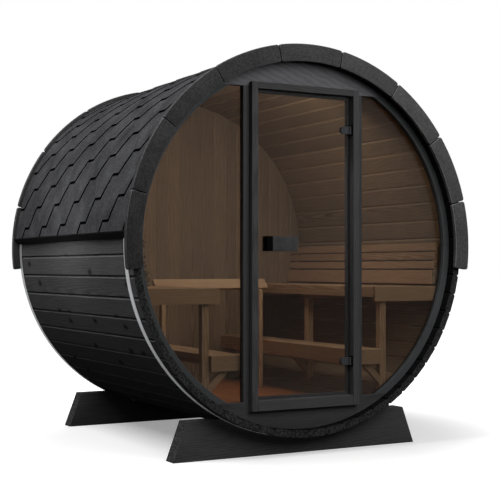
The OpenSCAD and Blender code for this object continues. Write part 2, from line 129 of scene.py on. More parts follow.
def add_node(
    tree: bpy.types.NodeTree, kind: str, inputs: Mapping[Any, Any] | None = None, **settings: Any,
) -> bpy.types.Node:
    """Adds one node with its settings, its input values and its links.

    Args:
        tree: The node tree that gets the node.
        kind: The node's type name.
        inputs: What set_inputs gives to its inputs.
        settings: The node's own properties.

    Returns:
        The new node.
    """
    node = tree.nodes.new(kind)
    for key, value in settings.items():
        setattr(node, key, value)
    set_inputs(tree, node, inputs or {})
    return node


def new_object(name: str, mesh: bpy.types.Mesh, *materials: bpy.types.Material) -> bpy.types.Object:
    """Links a mesh to the scene as an object at the origin.

    Args:
        name: The object's name.
        mesh: Its mesh.
        materials: The materials of its slots, if the mesh has none yet.

    Returns:
        The object.
    """
    piece = bpy.data.objects.new(name, mesh)
    bpy.context.scene.collection.objects.link(piece)
    for material in materials:
        mesh.materials.append(material)
    return piece


def shade(mesh: bpy.types.Mesh, angle_deg: float = 20.0) -> None:
    """Shades a mesh smooth, with edges sharper than an angle kept hard."""
    mesh.polygons.foreach_set("use_smooth", [True] * len(mesh.polygons))
    mesh.set_sharp_from_angle(angle=math.radians(angle_deg))


def islands(mesh: bpy.types.Mesh) -> np.ndarray:
    """Numbers the separate solids of a mesh.

    Args:
        mesh: The mesh to sort.

    Returns:
        One number per vertex, the same for all vertices of a solid.
    """
    count = len(mesh.vertices)
    ends = np.zeros(len(mesh.edges) * 2, np.int32)
    mesh.edges.foreach_get("vertices", ends)
    first, second = ends[0::2], ends[1::2]
    label = np.arange(count)
    while True:
        low = np.minimum(label[first], label[second])
        new = label.copy()
        np.minimum.at(new, first, low)
        np.minimum.at(new, second, low)
        new = new[new]
        if np.array_equal(new, label):
            return np.unique(label, return_inverse=True)[1]
        label = new


def mark_boards(mesh: bpy.types.Mesh, seed: int) -> None:
    """Writes each board's own axes to the mesh, so that grain follows the board.

    The attribute board holds a point's distance along, across and through its board, tone one random number
    per board, end_grain marks the faces that cut across the fibres and worn the narrow faces along the edges,
    which the finishes draw paler, partly as wear and partly as a painted highlight.

    Args:
        mesh: The mesh of one or more separate boards.
        seed: Seed of the random tones.
    """
    places = np.zeros(len(mesh.vertices) * 3, np.float32)
    mesh.vertices.foreach_get("co", places)
    places = places.reshape(-1, 3).astype(float)
    labels = islands(mesh)
    tones = np.random.default_rng(seed).random(labels.max() + 1)
    axes, frames = np.zeros_like(places), np.zeros((len(places), 3, 3))
    order = np.argsort(labels, kind="stable")
    for group in np.split(order, np.flatnonzero(np.diff(labels[order])) + 1):
        local = places[group] - (places[group].min(0) + places[group].max(0)) / 2
        spread, turn = np.linalg.eigh(local.T @ local)
        turn = turn[:, np.argsort(-spread)]
        axes[group], frames[group] = local @ turn, turn.T
    ends = [abs((frames[p.vertices[0]] @ p.normal)[0]) > END_TILT for p in mesh.polygons]
    mesh.attributes.new("board", "FLOAT_VECTOR", "POINT").data.foreach_set("vector", axes.astype(np.float32).ravel())
    mesh.attributes.new("tone", "FLOAT", "POINT").data.foreach_set("value", tones[labels].astype(np.float32))
    mesh.attributes.new("end_grain", "FLOAT", "FACE").data.foreach_set("value", np.array(ends, np.float32))
    slopes = [np.abs(frames[p.vertices[0]] @ p.normal).max() < FLAT_TILT for p in mesh.polygons]
    mesh.attributes.new("worn", "FLOAT", "FACE").data.foreach_set("value", np.array(slopes, np.float32))


def ease_edges(shape: bmesh.types.BMesh, width: float, segments: int = 2, angle_deg: float = 25.0) -> None:
    """Rounds the sharp edges of a shape, as sanding does.

    Args:
        shape: The shape to change.
        width: Width of the rounding.
        segments: Faces across the rounding.
        angle_deg: Edges turned by more than this are rounded.
    """
    limit = math.radians(angle_deg)
    sharp = [e for e in shape.edges if len(e.link_faces) == 2 and e.calc_face_angle(0.0) > limit]
    bmesh.ops.bevel(
        shape, geom=sharp, offset=width, offset_type="OFFSET", segments=segments, profile=0.5,
        affect="EDGES", clamp_overlap=True,
    )


def finished_mesh(name: str, shape: bmesh.types.BMesh) -> bpy.types.Mesh:
    """Writes a shape to a new mesh and frees it.

    Args:
        name: The mesh's name.
        shape: The shape, which is used up.

    Returns:
        The mesh, shaded.
    """
    mesh = bpy.data.meshes.new(name)
    shape.to_mesh(mesh)
    shape.free()
    shade(mesh)
    return mesh


def eased_copy(name: str, nodes: Sequence[str], width: float) -> bpy.types.Mesh:
    """Copies solids of the frame with their sharp edges rounded.

    Args:
        name: The new mesh's name.
        nodes: The nodes to copy.
        width: Width of the rounding.

    Returns:
        One mesh with all the solids.
    """
    shape = bmesh.new()
    for node in nodes:
        shape.from_mesh(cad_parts[node].data)
    bmesh.ops.remove_doubles(shape, verts=shape.verts[:], dist=0.01 * MM)
    bmesh.ops.dissolve_limit(shape, angle_limit=math.radians(0.3), verts=shape.verts[:], edges=shape.edges[:])
    ease_edges(shape, width)
    return finished_mesh(name, shape)


def swept_outline(outline: Sequence[tuple[float, float]], stops: Sequence[float]) -> bmesh.types.BMesh:
    """Runs an outline in X and Z along Y.

    Args:
        outline: Corners of the outline.
        stops: Places along Y that get a ring of corners.

    Returns:
        The closed shape.
    """
    shape = bmesh.new()
    rings = [[shape.verts.new((x, y, z)) for x, z in outline] for y in stops]
    count = len(outline)
    for near, far in zip(rings, rings[1:]):
        for i in range(count):
            shape.faces.new((near[i], near[(i + 1) % count], far[(i + 1) % count], far[i]))
    shape.faces.new(rings[0])
    shape.faces.new(list(reversed(rings[-1])))
    bmesh.ops.recalc_face_normals(shape, faces=shape.faces[:])
    return shape


def board_source(name: str, shape: bmesh.types.BMesh, seed: int) -> bpy.types.Object:
    """Makes one board that a recipe copies.

    Args:
        name: The board's name.
        shape: Its shape, which is used up.
        seed: Seed that mark_boards asks for.

    Returns:
        The board, marked with its own axes but without a tone, which the recipe gives to each copy.
    """
    mesh = finished_mesh(name, shape)
    mark_boards(mesh, seed)
    mesh.attributes.remove(mesh.attributes["tone"])
    return new_object(name, mesh)


def hand_over(piece: bpy.types.Object, body: Body, slot: Slot, *nodes: str) -> bpy.types.Object:
    """Lets a piece ride on its body and hides the nodes that it stands for.

    Args:
        piece: The finished piece.
        body: The body that carries it.
        slot: Not used.
        nodes: The nodes that it stands for.

    Returns:
        The piece.
    """
    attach(piece, body.value)
    if nodes:
        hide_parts(*nodes)
    LOG.info("%s: %d faces on %s", piece.name, len(piece.data.polygons), body.value)
    return piece


def dress_node(node: str, material: bpy.types.Material) -> None:
    """Gives a node of the frame a finish.

    Args:
        node: The node's name.
        material: The finish.
    """
    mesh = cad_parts[node].data
    mesh.materials.clear()
    mesh.materials.append(material)
    LOG.info("%s: dressed with %s", node, material.name)


def timber_piece(
    name: str, nodes: Sequence[str], material: bpy.types.Material, arris: float, slot: Slot, seed: int,
) -> bpy.types.Object:
    """Makes a piece of eased boards that stands for solids of the frame.

    Args:
        name: The piece's name.
        nodes: The nodes that it stands for.
        material: The finish of its boards.
        arris: Width of the eased edges.
        slot: The record's slot of its finish.
        seed: Seed of the boards' tones.

    Returns:
        The piece.
    """
    mesh = eased_copy(name, nodes, arris)
    mark_boards(mesh, seed)
    return hand_over(new_object(name, mesh, material), Body.SAUNA, slot, *nodes)


class Recipe:
    """A Geometry Nodes tree with named inputs, run once and turned into a plain mesh."""

    def __init__(self, name: str) -> None:
        """Starts an empty tree.

        Args:
            name: The name of the tree and of its result.
        """
        self.name = name
        self.tree = bpy.data.node_groups.new(name, "GeometryNodeTree")
        self.tree.is_modifier = True
        self.tree.interface.new_socket("Geometry", in_out="OUTPUT", socket_type="NodeSocketGeometry")
        self.entry = self.tree.nodes.new("NodeGroupInput")
        self.values: dict[str, Any] = {}

    def size(self, name: str, value: Any) -> bpy.types.NodeSocket:
        """Adds a named input.

        Args:
            name: The input's name.
            value: The value that it is set to, whose type gives the input's kind.

        Returns:
            The socket that carries the value inside the tree.
        """
        made = self.tree.interface.new_socket(name, in_out="INPUT", socket_type=SOCKETS[type(value)])
        self.values[made.identifier] = value
        return self.entry.outputs[name]

    def add(self, kind: str, inputs: Mapping[Any, Any] | None = None, **settings: Any) -> bpy.types.Node:
        """Adds a node to this tree."""
        return add_node(self.tree, kind, inputs, **settings)

    def turned(self, angle: Link) -> bpy.types.Node:
        """Adds the nodes that turn by an angle round the barrel's length."""
        return self.add("FunctionNodeEulerToRotation", {0: self.add("ShaderNodeCombineXYZ", {1: angle})})

    def copies(self, points: Link, source: bpy.types.NodeSocket, placing: Mapping[str, Link]) -> bpy.types.Node:
        """Adds the nodes that set a copy of a board on every point.

        Args:
            points: The points.
            source: The input that carries the board.
            placing: Rotation and scale of the copies, where they have them.

        Returns:
            The node with the copies as instances.
        """
        info = self.add("GeometryNodeObjectInfo", {"Object": source, "As Instance": True})
        return self.add("GeometryNodeInstanceOnPoints", {
            "Points": points, "Instance": info.outputs["Geometry"], **placing,
        })

    def toned(self, boards: Link, tone: Link) -> bpy.types.Node:
        """Adds the nodes that give each board a tone and make it real.

        Args:
            boards: The boards as instances.
            tone: The tone of each.

        Returns:
            The node with the real boards.
        """
        held = self.add("GeometryNodeStoreNamedAttribute", {
            "Geometry": boards, "Name": "tone", "Value": tone,
        }, data_type="FLOAT", domain="INSTANCE")
        return self.add("GeometryNodeRealizeInstances", {0: held})

    def run(self, geometry: Link) -> bpy.types.Mesh:
        """Evaluates the tree.

        Args:
            geometry: The finished geometry, whose instances are real.

        Returns:
            The result as a plain mesh.
        """
        self.add("NodeGroupOutput", {0: geometry})
        carrier = new_object(self.name, bpy.data.meshes.new(self.name))
        modifier = carrier.modifiers.new(self.name, "NODES")
        modifier.node_group = self.tree
        for identifier, value in self.values.items():
            modifier[identifier] = value
        carrier.update_tag()
        graph = bpy.context.evaluated_depsgraph_get()
        shown = carrier.evaluated_get(graph)
        mesh = bpy.data.meshes.new_from_object(shown, preserve_all_data_layers=True, depsgraph=graph)
        carrier.modifiers.remove(modifier)
        bpy.data.objects.remove(carrier)
        mesh.name = self.name
        return mesh


# Finishes


@dataclass(frozen=True)
class Finish:
    """A surface finish: the name of its real material and the shader that it starts from."""

    name: str

    def start(self) -> tuple[bpy.types.Material, bpy.types.NodeTree, bpy.types.Node]:
        """Makes the material.

        Returns:
            The material, its node tree and its main shader.
        """
        material = bpy.data.materials.new(self.name)
        material.use_nodes = True
        tree = material.node_tree
        return material, tree, tree.nodes["Principled BSDF"]


@dataclass(frozen=True)
class Timber(Finish):
    """Sawn softwood with rings, fibres and a tone of its own for every board."""

    pale: str
    dark: str
    ring: float = 9 * MM
    fibre: float = 4 * MM
    ring_share: float = 0.5
    tone_spread: float = 0.3
    rough: tuple[float, float] = (0.5, 0.72)
    gloss: float = 0.004
    relief: float = 0.5 * MM
    knot: str = "141414"
    knots: float = 0.0
    knot_cells: tuple[float, float] = (4.2, 7.0)
    knot_reach: tuple[float, float] = (0.22, 0.4)
    knot_bend: float = 0.02
    streak: float = 60.0
    log_step: tuple[float, float, float] = (11.3, 0.17, 0.11)
    heart: tuple[float, float] = (0.03, 0.05)
    arch: float = 0.12
    lean: tuple[float, float] = (16.0, 8.0)
    end_level: float = 0.6
    # Gain on the eased edges: wear, and a painted highlight
    wear_and_highlight_level: float = 1.3

    def material(self) -> bpy.types.Material:
        """Builds the shader from the boards' own axes.

        Returns:
            The material.
        """
        material, tree, shader = self.start()
        board = add_node(tree, "ShaderNodeAttribute", attribute_name="board")
        tone = add_node(tree, "ShaderNodeAttribute", attribute_name="tone")
        # Every board is cut from another place of the log
        log = add_node(tree, "ShaderNodeVectorMath", {0: tone.outputs["Fac"], 1: self.log_step}, operation="MULTIPLY")
        place = add_node(tree, "ShaderNodeVectorMath", {0: board.outputs["Vector"], 1: log}, operation="ADD")
        # Knots sit in cells of about 240 by 140 mm, of which only a share has one, drawn out along the board
        cells = add_node(tree, "ShaderNodeVectorMath", {0: place, 1: (*self.knot_cells, 0.0)}, operation="MULTIPLY")
        spots = add_node(tree, "ShaderNodeTexVoronoi", {0: cells, "Scale": 1.0}, voronoi_dimensions="2D")
        chance = add_node(tree, "ShaderNodeMath", {0: spots.outputs["Color"], 1: self.knots}, operation="LESS_THAN")
        near, swirl = (add_node(tree, "ShaderNodeMapRange", {
            0: spots.outputs["Distance"], 1: reach, 2: 0.0, 3: 0.0, 4: chance,
        }, interpolation_type="SMOOTHSTEP") for reach in self.knot_reach)
        aside = add_node(tree, "ShaderNodeMath", {0: swirl, 1: self.knot_bend}, operation="MULTIPLY")
        bend = add_node(tree, "ShaderNodeCombineXYZ", {2: aside})
        bent = add_node(tree, "ShaderNodeVectorMath", {0: place, 1: bend}, operation="ADD")
        # The log's axis is a little out of line with the board, which draws the rings out to arches, and the
        # squeeze along the board draws out their ragged edges
        squeeze = add_node(tree, "ShaderNodeVectorMath", {0: bent, 1: (self.arch, 1.0, 1.0)}, operation="MULTIPLY")
        tilt = add_node(tree, "ShaderNodeMapping", {
            0: squeeze, "Location": (0, *self.heart), "Rotation": (0, *map(math.radians, self.lean)),
        })
        rings = add_node(tree, "ShaderNodeTexWave", {
            0: tilt, "Scale": math.pi / 10 / self.ring, "Distortion": 4.0, "Detail": 3.0, "Detail Scale": 2.5,
        }, wave_type="RINGS", rings_direction="X", wave_profile="SIN")
        # Real fibres are under a millimetre wide, so they are drawn coarser to show at all
        fine = add_node(tree, "ShaderNodeVectorMath", {
            0: place, 1: (1 / (self.streak * self.fibre), 1 / self.fibre, 1 / self.fibre),
        }, operation="MULTIPLY")
        fibres = add_node(tree, "ShaderNodeTexNoise", {0: fine, "Scale": 1.0, "Detail": 3.0, "Roughness": 0.6})
        wide = add_node(tree, "ShaderNodeTexNoise", {0: place, "Scale": 5.0, "Detail": 2.0})
        ring_part = add_node(tree, "ShaderNodeMath", {
            0: rings.outputs["Fac"], 1: self.ring_share,
        }, operation="MULTIPLY")
        share = add_node(tree, "ShaderNodeMath", {
            0: fibres.outputs["Fac"], 1: 1 - self.ring_share, 2: ring_part,
        }, operation="MULTIPLY_ADD")
        soft = add_node(tree, "ShaderNodeMapRange", {0: share, 1: 0.15, 2: 0.85})
        colour = add_node(tree, "ShaderNodeMix", {
            0: soft, 6: hex_linear(self.pale), 7: hex_linear(self.dark),
        }, data_type="RGBA")
        knotted = add_node(tree, "ShaderNodeMix", {
            0: near, 6: colour.outputs[2], 7: hex_linear(self.knot),
        }, data_type="RGBA")
        drift = add_node(tree, "ShaderNodeMath", {0: wide.outputs["Fac"], 1: tone.outputs["Fac"]}, operation="ADD")
        level = add_node(tree, "ShaderNodeMapRange", {
            0: drift, 1: 0.4, 2: 1.6, 3: 1 - self.tone_spread / 2, 4: 1 + self.tone_spread / 2,
        })
        # Sawn ends drink more stain than the planed sides, in patches about 12 mm wide
        end = add_node(tree, "ShaderNodeAttribute", attribute_name="end_grain")
        saw = add_node(tree, "ShaderNodeTexNoise", {0: place, "Scale": 85.0, "Detail": 2.0})
        patch = add_node(tree, "ShaderNodeMapRange", {
            0: saw.outputs["Fac"], 1: 0.35, 2: 0.65, 3: 0.4 * self.end_level, 4: 1.5 * self.end_level,
        })
        drunk = add_node(tree, "ShaderNodeMapRange", {0: end.outputs["Fac"], 3: 1.0, 4: patch})
        depth = add_node(tree, "ShaderNodeMath", {0: level, 1: drunk}, operation="MULTIPLY")
        # The eased edges are drawn paler: partly stain rubbed thin by hands and weather, partly a painted highlight
        # where they catch the light
        worn = add_node(tree, "ShaderNodeAttribute", attribute_name="worn")
        wear_and_highlight_gain = add_node(tree, "ShaderNodeMapRange", {0: worn.outputs["Fac"], 3: 1.0, 4: self.wear_and_highlight_level})
        depth = add_node(tree, "ShaderNodeMath", {0: depth, 1: wear_and_highlight_gain}, operation="MULTIPLY")
        toned = add_node(tree, "ShaderNodeHueSaturation", {"Value": depth, "Color": knotted.outputs[2]})
        matt = add_node(tree, "ShaderNodeMapRange", {
            0: fibres.outputs["Fac"], 1: 0.3, 2: 0.7, 3: self.rough[0], 4: self.rough[1],
        })
        bump = add_node(tree, "ShaderNodeBump", {"Strength": 0.6, "Distance": self.relief, "Height": share})
        set_inputs(tree, shader, {
            "Base Color": toned, "Roughness": matt, "Normal": bump, "Specular IOR Level": self.gloss,
        })
        return material


@dataclass(frozen=True)
class Shingle(Finish):
    """Bitumen felt under mineral granules, with a black cut edge and a painted shadow under each next course."""

    granule: str
    pale_granule: str
    cut: str
    grit: float = 6 * MM
    shadow_band: float = 21 * MM

    def material(self) -> bpy.types.Material:
        """Builds the shader from the granules, the cut edge and the painted shadow.

        Returns:
            The material.
        """
        material, tree, shader = self.start()
        where = add_node(tree, "ShaderNodeTexCoord")
        # Granules are about 1 mm across, drawn at several times that so that they show
        grains = add_node(tree, "ShaderNodeTexVoronoi", {0: where.outputs["Object"], "Scale": 1 / self.grit})
        clouds = add_node(tree, "ShaderNodeTexNoise", {0: where.outputs["Object"], "Scale": 7.0, "Detail": 4.0})
        mixed = add_node(tree, "ShaderNodeMath", {
            0: grains.outputs["Color"], 1: 0.55, 2: clouds.outputs["Fac"],
        }, operation="MULTIPLY_ADD")
        level = add_node(tree, "ShaderNodeMapRange", {0: mixed, 1: 0.45, 2: 1.15})
        top = add_node(tree, "ShaderNodeMix", {
            0: level, 6: hex_linear(self.granule), 7: hex_linear(self.pale_granule),
        }, data_type="RGBA")
        # Just under the next course lies a painted shadow of its edge, in the cut edge's black and ragged by a few
        # grains
        lap = add_node(tree, "ShaderNodeAttribute", attribute_name="lap")
        depth = add_node(tree, "ShaderNodeMath", {0: lap.outputs["Fac"]}, operation="ABSOLUTE")
        ragged = add_node(tree, "ShaderNodeMath", {
            0: grains.outputs["Distance"], 1: self.grit, 2: depth,
        }, operation="MULTIPLY_ADD")
        shadow_band = add_node(tree, "ShaderNodeMapRange", {0: ragged, 1: self.shadow_band, 2: 0.75 * self.shadow_band, 3: 0.0, 4: 1.0})
        edge = add_node(tree, "ShaderNodeAttribute", attribute_name="cut_edge")
        black = add_node(tree, "ShaderNodeMath", {0: edge.outputs["Fac"], 1: shadow_band}, operation="MAXIMUM")
        colour = add_node(tree, "ShaderNodeMix", {
            0: black, 6: top.outputs[2], 7: hex_linear(self.cut),
        }, data_type="RGBA")
        bump = add_node(tree, "ShaderNodeBump", {
            "Strength": 0.5, "Distance": 1.2 * MM, "Height": grains.outputs["Distance"],
        })
        set_inputs(tree, shader, {
            "Base Color": colour.outputs[2], "Normal": bump, "Roughness": 0.9, "Specular IOR Level": 0.0,
        })
        return material


@dataclass(frozen=True)
class RolledSteel(Finish):
    """Stainless strip as it leaves the rolls: bright, with fine streaks along its length."""

    colour: str
    streak: float = 4 * MM

    def material(self) -> bpy.types.Material:
        """Builds the shader with streaks that run round the barrel.

        Returns:
            The material.
        """
        material, tree, shader = self.start()
        where = add_node(tree, "ShaderNodeTexCoord")
        # Streaks are hair fine, so they are drawn 4 mm apart to show
        fine = add_node(tree, "ShaderNodeVectorMath", {
            0: where.outputs["Object"], 1: (2.0, 1 / self.streak, 2.0),
        }, operation="MULTIPLY")
        streaks = add_node(tree, "ShaderNodeTexNoise", {0: fine, "Scale": 1.0, "Detail": 2.0})
        matt = add_node(tree, "ShaderNodeMapRange", {0: streaks.outputs["Fac"], 1: 0.3, 2: 0.7, 3: 0.42, 4: 0.6})
        stain = add_node(tree, "ShaderNodeTexNoise", {0: where.outputs["Object"], "Scale": 6.0, "Detail": 3.0})
        dull = add_node(tree, "ShaderNodeMapRange", {0: stain.outputs["Fac"], 1: 0.3, 2: 0.7, 3: 0.86, 4: 1.06})
        toned = add_node(tree, "ShaderNodeHueSaturation", {"Value": dull, "Color": hex_linear(self.colour)})
        set_inputs(tree, shader, {"Base Color": toned, "Roughness": matt, "Metallic": 0.6})
        return material


@dataclass(frozen=True)
class PowderCoat(Finish):
    """Powder paint baked on metal: even, half matt, with a slight orange peel."""

    colour: str
    rough: float = 0.42
    gloss: float = 0.2

    def material(self) -> bpy.types.Material:
        """Builds the shader with the peel as bump.

        Returns:
            The material.
        """
        material, tree, shader = self.start()
        where = add_node(tree, "ShaderNodeTexCoord")
        peel = add_node(tree, "ShaderNodeTexNoise", {0: where.outputs["Object"], "Scale": 1 / (3 * MM), "Detail": 2.0})
        wear = add_node(tree, "ShaderNodeTexNoise", {0: where.outputs["Object"], "Scale": 25.0, "Detail": 4.0})
        level = add_node(tree, "ShaderNodeMapRange", {0: wear.outputs["Fac"], 1: 0.3, 2: 0.7, 3: 0.85, 4: 1.15})
        toned = add_node(tree, "ShaderNodeHueSaturation", {"Value": level, "Color": hex_linear(self.colour)})
        bump = add_node(tree, "ShaderNodeBump", {"Strength": 0.3, "Distance": 0.2 * MM, "Height": peel.outputs["Fac"]})
        set_inputs(tree, shader, {
            "Base Color": toned, "Normal": bump, "Roughness": self.rough, "Specular IOR Level": self.gloss,
        })
        return material


@dataclass(frozen=True)
class TintedGlass(Finish):
    """Toughened bronze float glass: dark, clear, with the faintest smears."""

    tint: str
    cover: float

    def material(self) -> bpy.types.Material:
        """Builds the shader, see-through by its alpha.

        Returns:
            The material.
        """
        material, tree, shader = self.start()
        where = add_node(tree, "ShaderNodeTexCoord")
        smear = add_node(tree, "ShaderNodeTexNoise", {
            0: where.outputs["Object"], "Scale": 3.0, "Detail": 5.0, "Roughness": 0.65,
        })
        matt = add_node(tree, "ShaderNodeMapRange", {0: smear.outputs["Fac"], 1: 0.35, 2: 0.75, 3: 0.015, 4: 0.07})
        set_inputs(tree, shader, {
            "Base Color": hex_linear(self.tint), "Roughness": matt, "Alpha": self.cover, "Specular IOR Level": 0.4,
        })
        return material


# Softwood stained black: the grain shows through as paler and darker streaks, matt
BLACK_TIMBER = Timber(
    "black stained planed spruce", "535354", "3b3b3c", ring_share=0.3, tone_spread=0.24, end_level=0.75,
    wear_and_highlight_level=1.15,
)
# The curved boards were sawn across the grain in places, so the stain dried in fine specks; their eased rims
# are drawn much paler, wear together with a painted highlight
FASCIA_TIMBER = Timber(
    "black stained band sawn spruce", "616162", "2a2a2b", ring_share=0.1, fibre=8 * MM, streak=1.6, tone_spread=0.8,
    wear_and_highlight_level=2.6,
)
# The curved frame round the glass was stained more thinly
RING_TIMBER = Timber("thinly stained planed spruce", "585a5b", "424445", ring_share=0.3, tone_spread=0.12)
# The staves are of the same wood in a cheaper grade, so knots show through the stain as darker spots
STAVE_TIMBER = Timber(
    "black stained knotty spruce", "646465", "404041", ring_share=0.25, tone_spread=0.2, knot="282828", knots=0.42,
    end_level=0.45, wear_and_highlight_level=1.15, gloss=0.0,
)
# The wide upper panel is drawn paler than the other black boards, as painted light on it, so the arches of its grain
# stand out
PANEL_TIMBER = Timber(
    "black stained flat sawn spruce", "717174", "606062", ring=26 * MM, ring_share=0.45, tone_spread=0.1,
    heart=(0.0, 0.02), arch=0.5, lean=(16.0, -30.0),
)
# The same stain drawn near black as painted shade, for the eave strips, the roof deck and the staves' inner faces
# at the barrel's ends
SHADE_PAINTED_TIMBER = Timber("black stained sawn spruce strips", "1c1c1d", "111112", tone_spread=0.2)
# Heat treated softwood indoors: warm brown, dry and matt
INNER_TIMBER = Timber("planed thermal spruce", "a58b6c", "7d6248", tone_spread=0.3, rough=(0.6, 0.8), gloss=0.05)
# Planed bench boards, paler and closer grained than the lining
BENCH_TIMBER = Timber("planed aspen bench boards", "c9a681", "a87f58", ring=7 * MM, tone_spread=0.2, gloss=0.05)
# Floor boards, redder and wetter looking than the rest
FLOOR_TIMBER = Timber(
    "oiled larch floor boards", "b87440", "8a4f28", ring=6 * MM, tone_spread=0.35, rough=(0.45, 0.65), gloss=0.1,
)
# The cut edge's black also draws the painted shadow under each course
ROOF_FELT = Shingle("granule faced bitumen felt", "303032", "545456", "040405")
BAND_STEEL = RolledSteel("rolled stainless strip", "d2d3d5")
HINGE_COAT = PowderCoat("powder coated zinc casting", "3f4042", 0.4, 0.08)
BLOCK_COAT = PowderCoat("moulded black nylon", "0b0b0b", 0.5, 0.01)
GRIP_COAT = PowderCoat("satin anodised aluminium bar", "444445", 0.4, 0.08)
# Every ray passes both faces of a pane, so each face holds back half of what the pane does
GLASS = TintedGlass("toughened bronze glass", "1c150f", 0.26)


# Sub-assemblies


@dataclass
class Barrel:
    """The coopered shell of staves, with its two steel bands."""

    outer: float = 1.120
    thick: float = 0.044
    count: int = 58
    bevel: float = 0.009
    centre: float = 1.218
    lining: tuple[float, float] = (-0.900, 0.885)
    gap: float = 0.4 * MM
    slip: float = 0.6 * MM
    shortest: float = 0.998
    seed: int = 11
    nodes: Sequence[str] = tuple(f"staves_{i}" for i in range(1, 7))
    bands: Sequence[str] = ("band_front", "band_rear")

    @property
    def half(self) -> float:
        """Half the angle of one stave."""
        return math.pi / self.count

    @property
    def inner(self) -> float:
        """Radius of the staves' inner faces."""
        return self.outer * math.cos(self.half) - self.thick

    def stave(self) -> bpy.types.Object:
        """Makes one stave on the X axis, bevelled on its long edges and eased all round.

        Returns:
            The stave, as a source for the shell.
        """
        low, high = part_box(self.nodes[0])
        top, b = self.inner + self.thick, self.bevel
        steps = [(self.inner, b), (self.inner + b, 0.0), (top - b, 0.0), (top, b)]
        right = [(r, r * math.tan(self.half) - self.gap / 2 - cut) for r, cut in steps]
        outline = [(r, -w) for r, w in right] + [(r, w) for r, w in reversed(right)]
        shape = swept_outline(outline, (low.y, *self.lining, high.y))
        ease_edges(shape, 0.8 * MM, 1)
        return board_source("stave", shape, self.seed)

    def shell(self, painted_shade: bpy.types.Material) -> bpy.types.Mesh:
        """Sets the staves round the barrel, each a hair out of line with the next.

        Args:
            painted_shade: The near black finish of the inner faces outside the cabin, painted shade.

        Returns:
            The mesh of all the staves, black outside, near black as painted shade at the inner ends and natural in the
            cabin.
        """
        source = self.stave()
        recipe = Recipe("stave_shell")
        count = recipe.size("Staves", self.count)
        stave = recipe.size("Stave", source)
        centre = recipe.size("Centre height", self.centre)
        step = recipe.size("Stave angle", 2 * self.half)
        slip = recipe.size("Slip", self.slip)
        shortest = recipe.size("Shortest", self.shortest)
        inner = recipe.size("Lining radius", self.inner + 1.3 * self.bevel)
        lined = recipe.size("Lined half length", min(-self.lining[0], self.lining[1]))
        outside = recipe.size("Outside", STAVE_TIMBER.material())
        inside = recipe.size("Inside", INNER_TIMBER.material())
        shaded_reveal = recipe.size("Reveal", painted_shade)
        seed = recipe.size("Seed", self.seed)
        base = recipe.add("ShaderNodeCombineXYZ", {2: centre})
        line = recipe.add("GeometryNodeMeshLine", {"Count": count, "Start Location": base, "Offset": (0, 0, 0)})
        index = recipe.add("GeometryNodeInputIndex")
        angle = recipe.add("ShaderNodeMath", {0: index, 1: step}, operation="MULTIPLY")
        # The ends are sawn by hand, so no two staves are quite the same length
        length = recipe.add("FunctionNodeRandomValue", {2: shortest, 3: 1.0, "Seed": seed}, data_type="FLOAT")
        scale = recipe.add("ShaderNodeCombineXYZ", {0: 1.0, 1: length.outputs[1], 2: 1.0})
        placed = recipe.copies(line, stave, {"Rotation": recipe.turned(angle), "Scale": scale})
        back = recipe.add("ShaderNodeMath", {0: slip, 1: -1.0}, operation="MULTIPLY")
        least = recipe.add("ShaderNodeCombineXYZ", {0: back})
        jog = recipe.add("FunctionNodeRandomValue", {0: least, 1: (0, 0, 0), "Seed": seed}, data_type="FLOAT_VECTOR")
        moved = recipe.add("GeometryNodeTranslateInstances", {
            "Instances": placed, "Translation": jog, "Local Space": True,
        })
        tone = recipe.add("FunctionNodeRandomValue", {2: 0.0, 3: 1.0, "Seed": seed}, data_type="FLOAT")
        real = recipe.toned(moved, tone.outputs[1])
        black = recipe.add("GeometryNodeSetMaterial", {"Geometry": real, "Material": outside})
        place = recipe.add("GeometryNodeInputPosition")
        parts = recipe.add("ShaderNodeSeparateXYZ", {0: place})
        up = recipe.add("ShaderNodeMath", {0: parts.outputs[2], 1: centre}, operation="SUBTRACT")
        flat = recipe.add("ShaderNodeCombineXYZ", {0: parts.outputs[0], 1: up})
        radius = recipe.add("ShaderNodeVectorMath", {0: flat}, operation="LENGTH")
        near = recipe.add("ShaderNodeMath", {0: radius.outputs["Value"], 1: inner}, operation="LESS_THAN")
        along = recipe.add("ShaderNodeMath", {0: parts.outputs[1]}, operation="ABSOLUTE")
        within = recipe.add("ShaderNodeMath", {0: along, 1: lined}, operation="LESS_THAN")
        both = recipe.add("ShaderNodeMath", {0: near, 1: within}, operation="MULTIPLY")
        # The inner faces beyond the lining take the near black finish, painted shade in the recess at each end
        dark = recipe.add("GeometryNodeSetMaterial", {"Geometry": black, "Selection": near, "Material": shaded_reveal})
        lined_faces = recipe.add("GeometryNodeSetMaterial", {"Geometry": dark, "Selection": both, "Material": inside})
        mesh = recipe.run(lined_faces)
        bpy.data.objects.remove(source)
        return mesh

    def build(self, painted_shade: bpy.types.Material) -> None:
        """Makes the shell and dresses the bands.

        Args:
            painted_shade: The near black finish of the inner faces outside the cabin, painted shade.
        """
        hand_over(new_object("stave_shell", self.shell(painted_shade)), Body.SAUNA, Slot.BLACK_WOOD, *self.nodes)
        steel = BAND_STEEL.material()
        for node in self.bands:
            dress_node(node, steel)


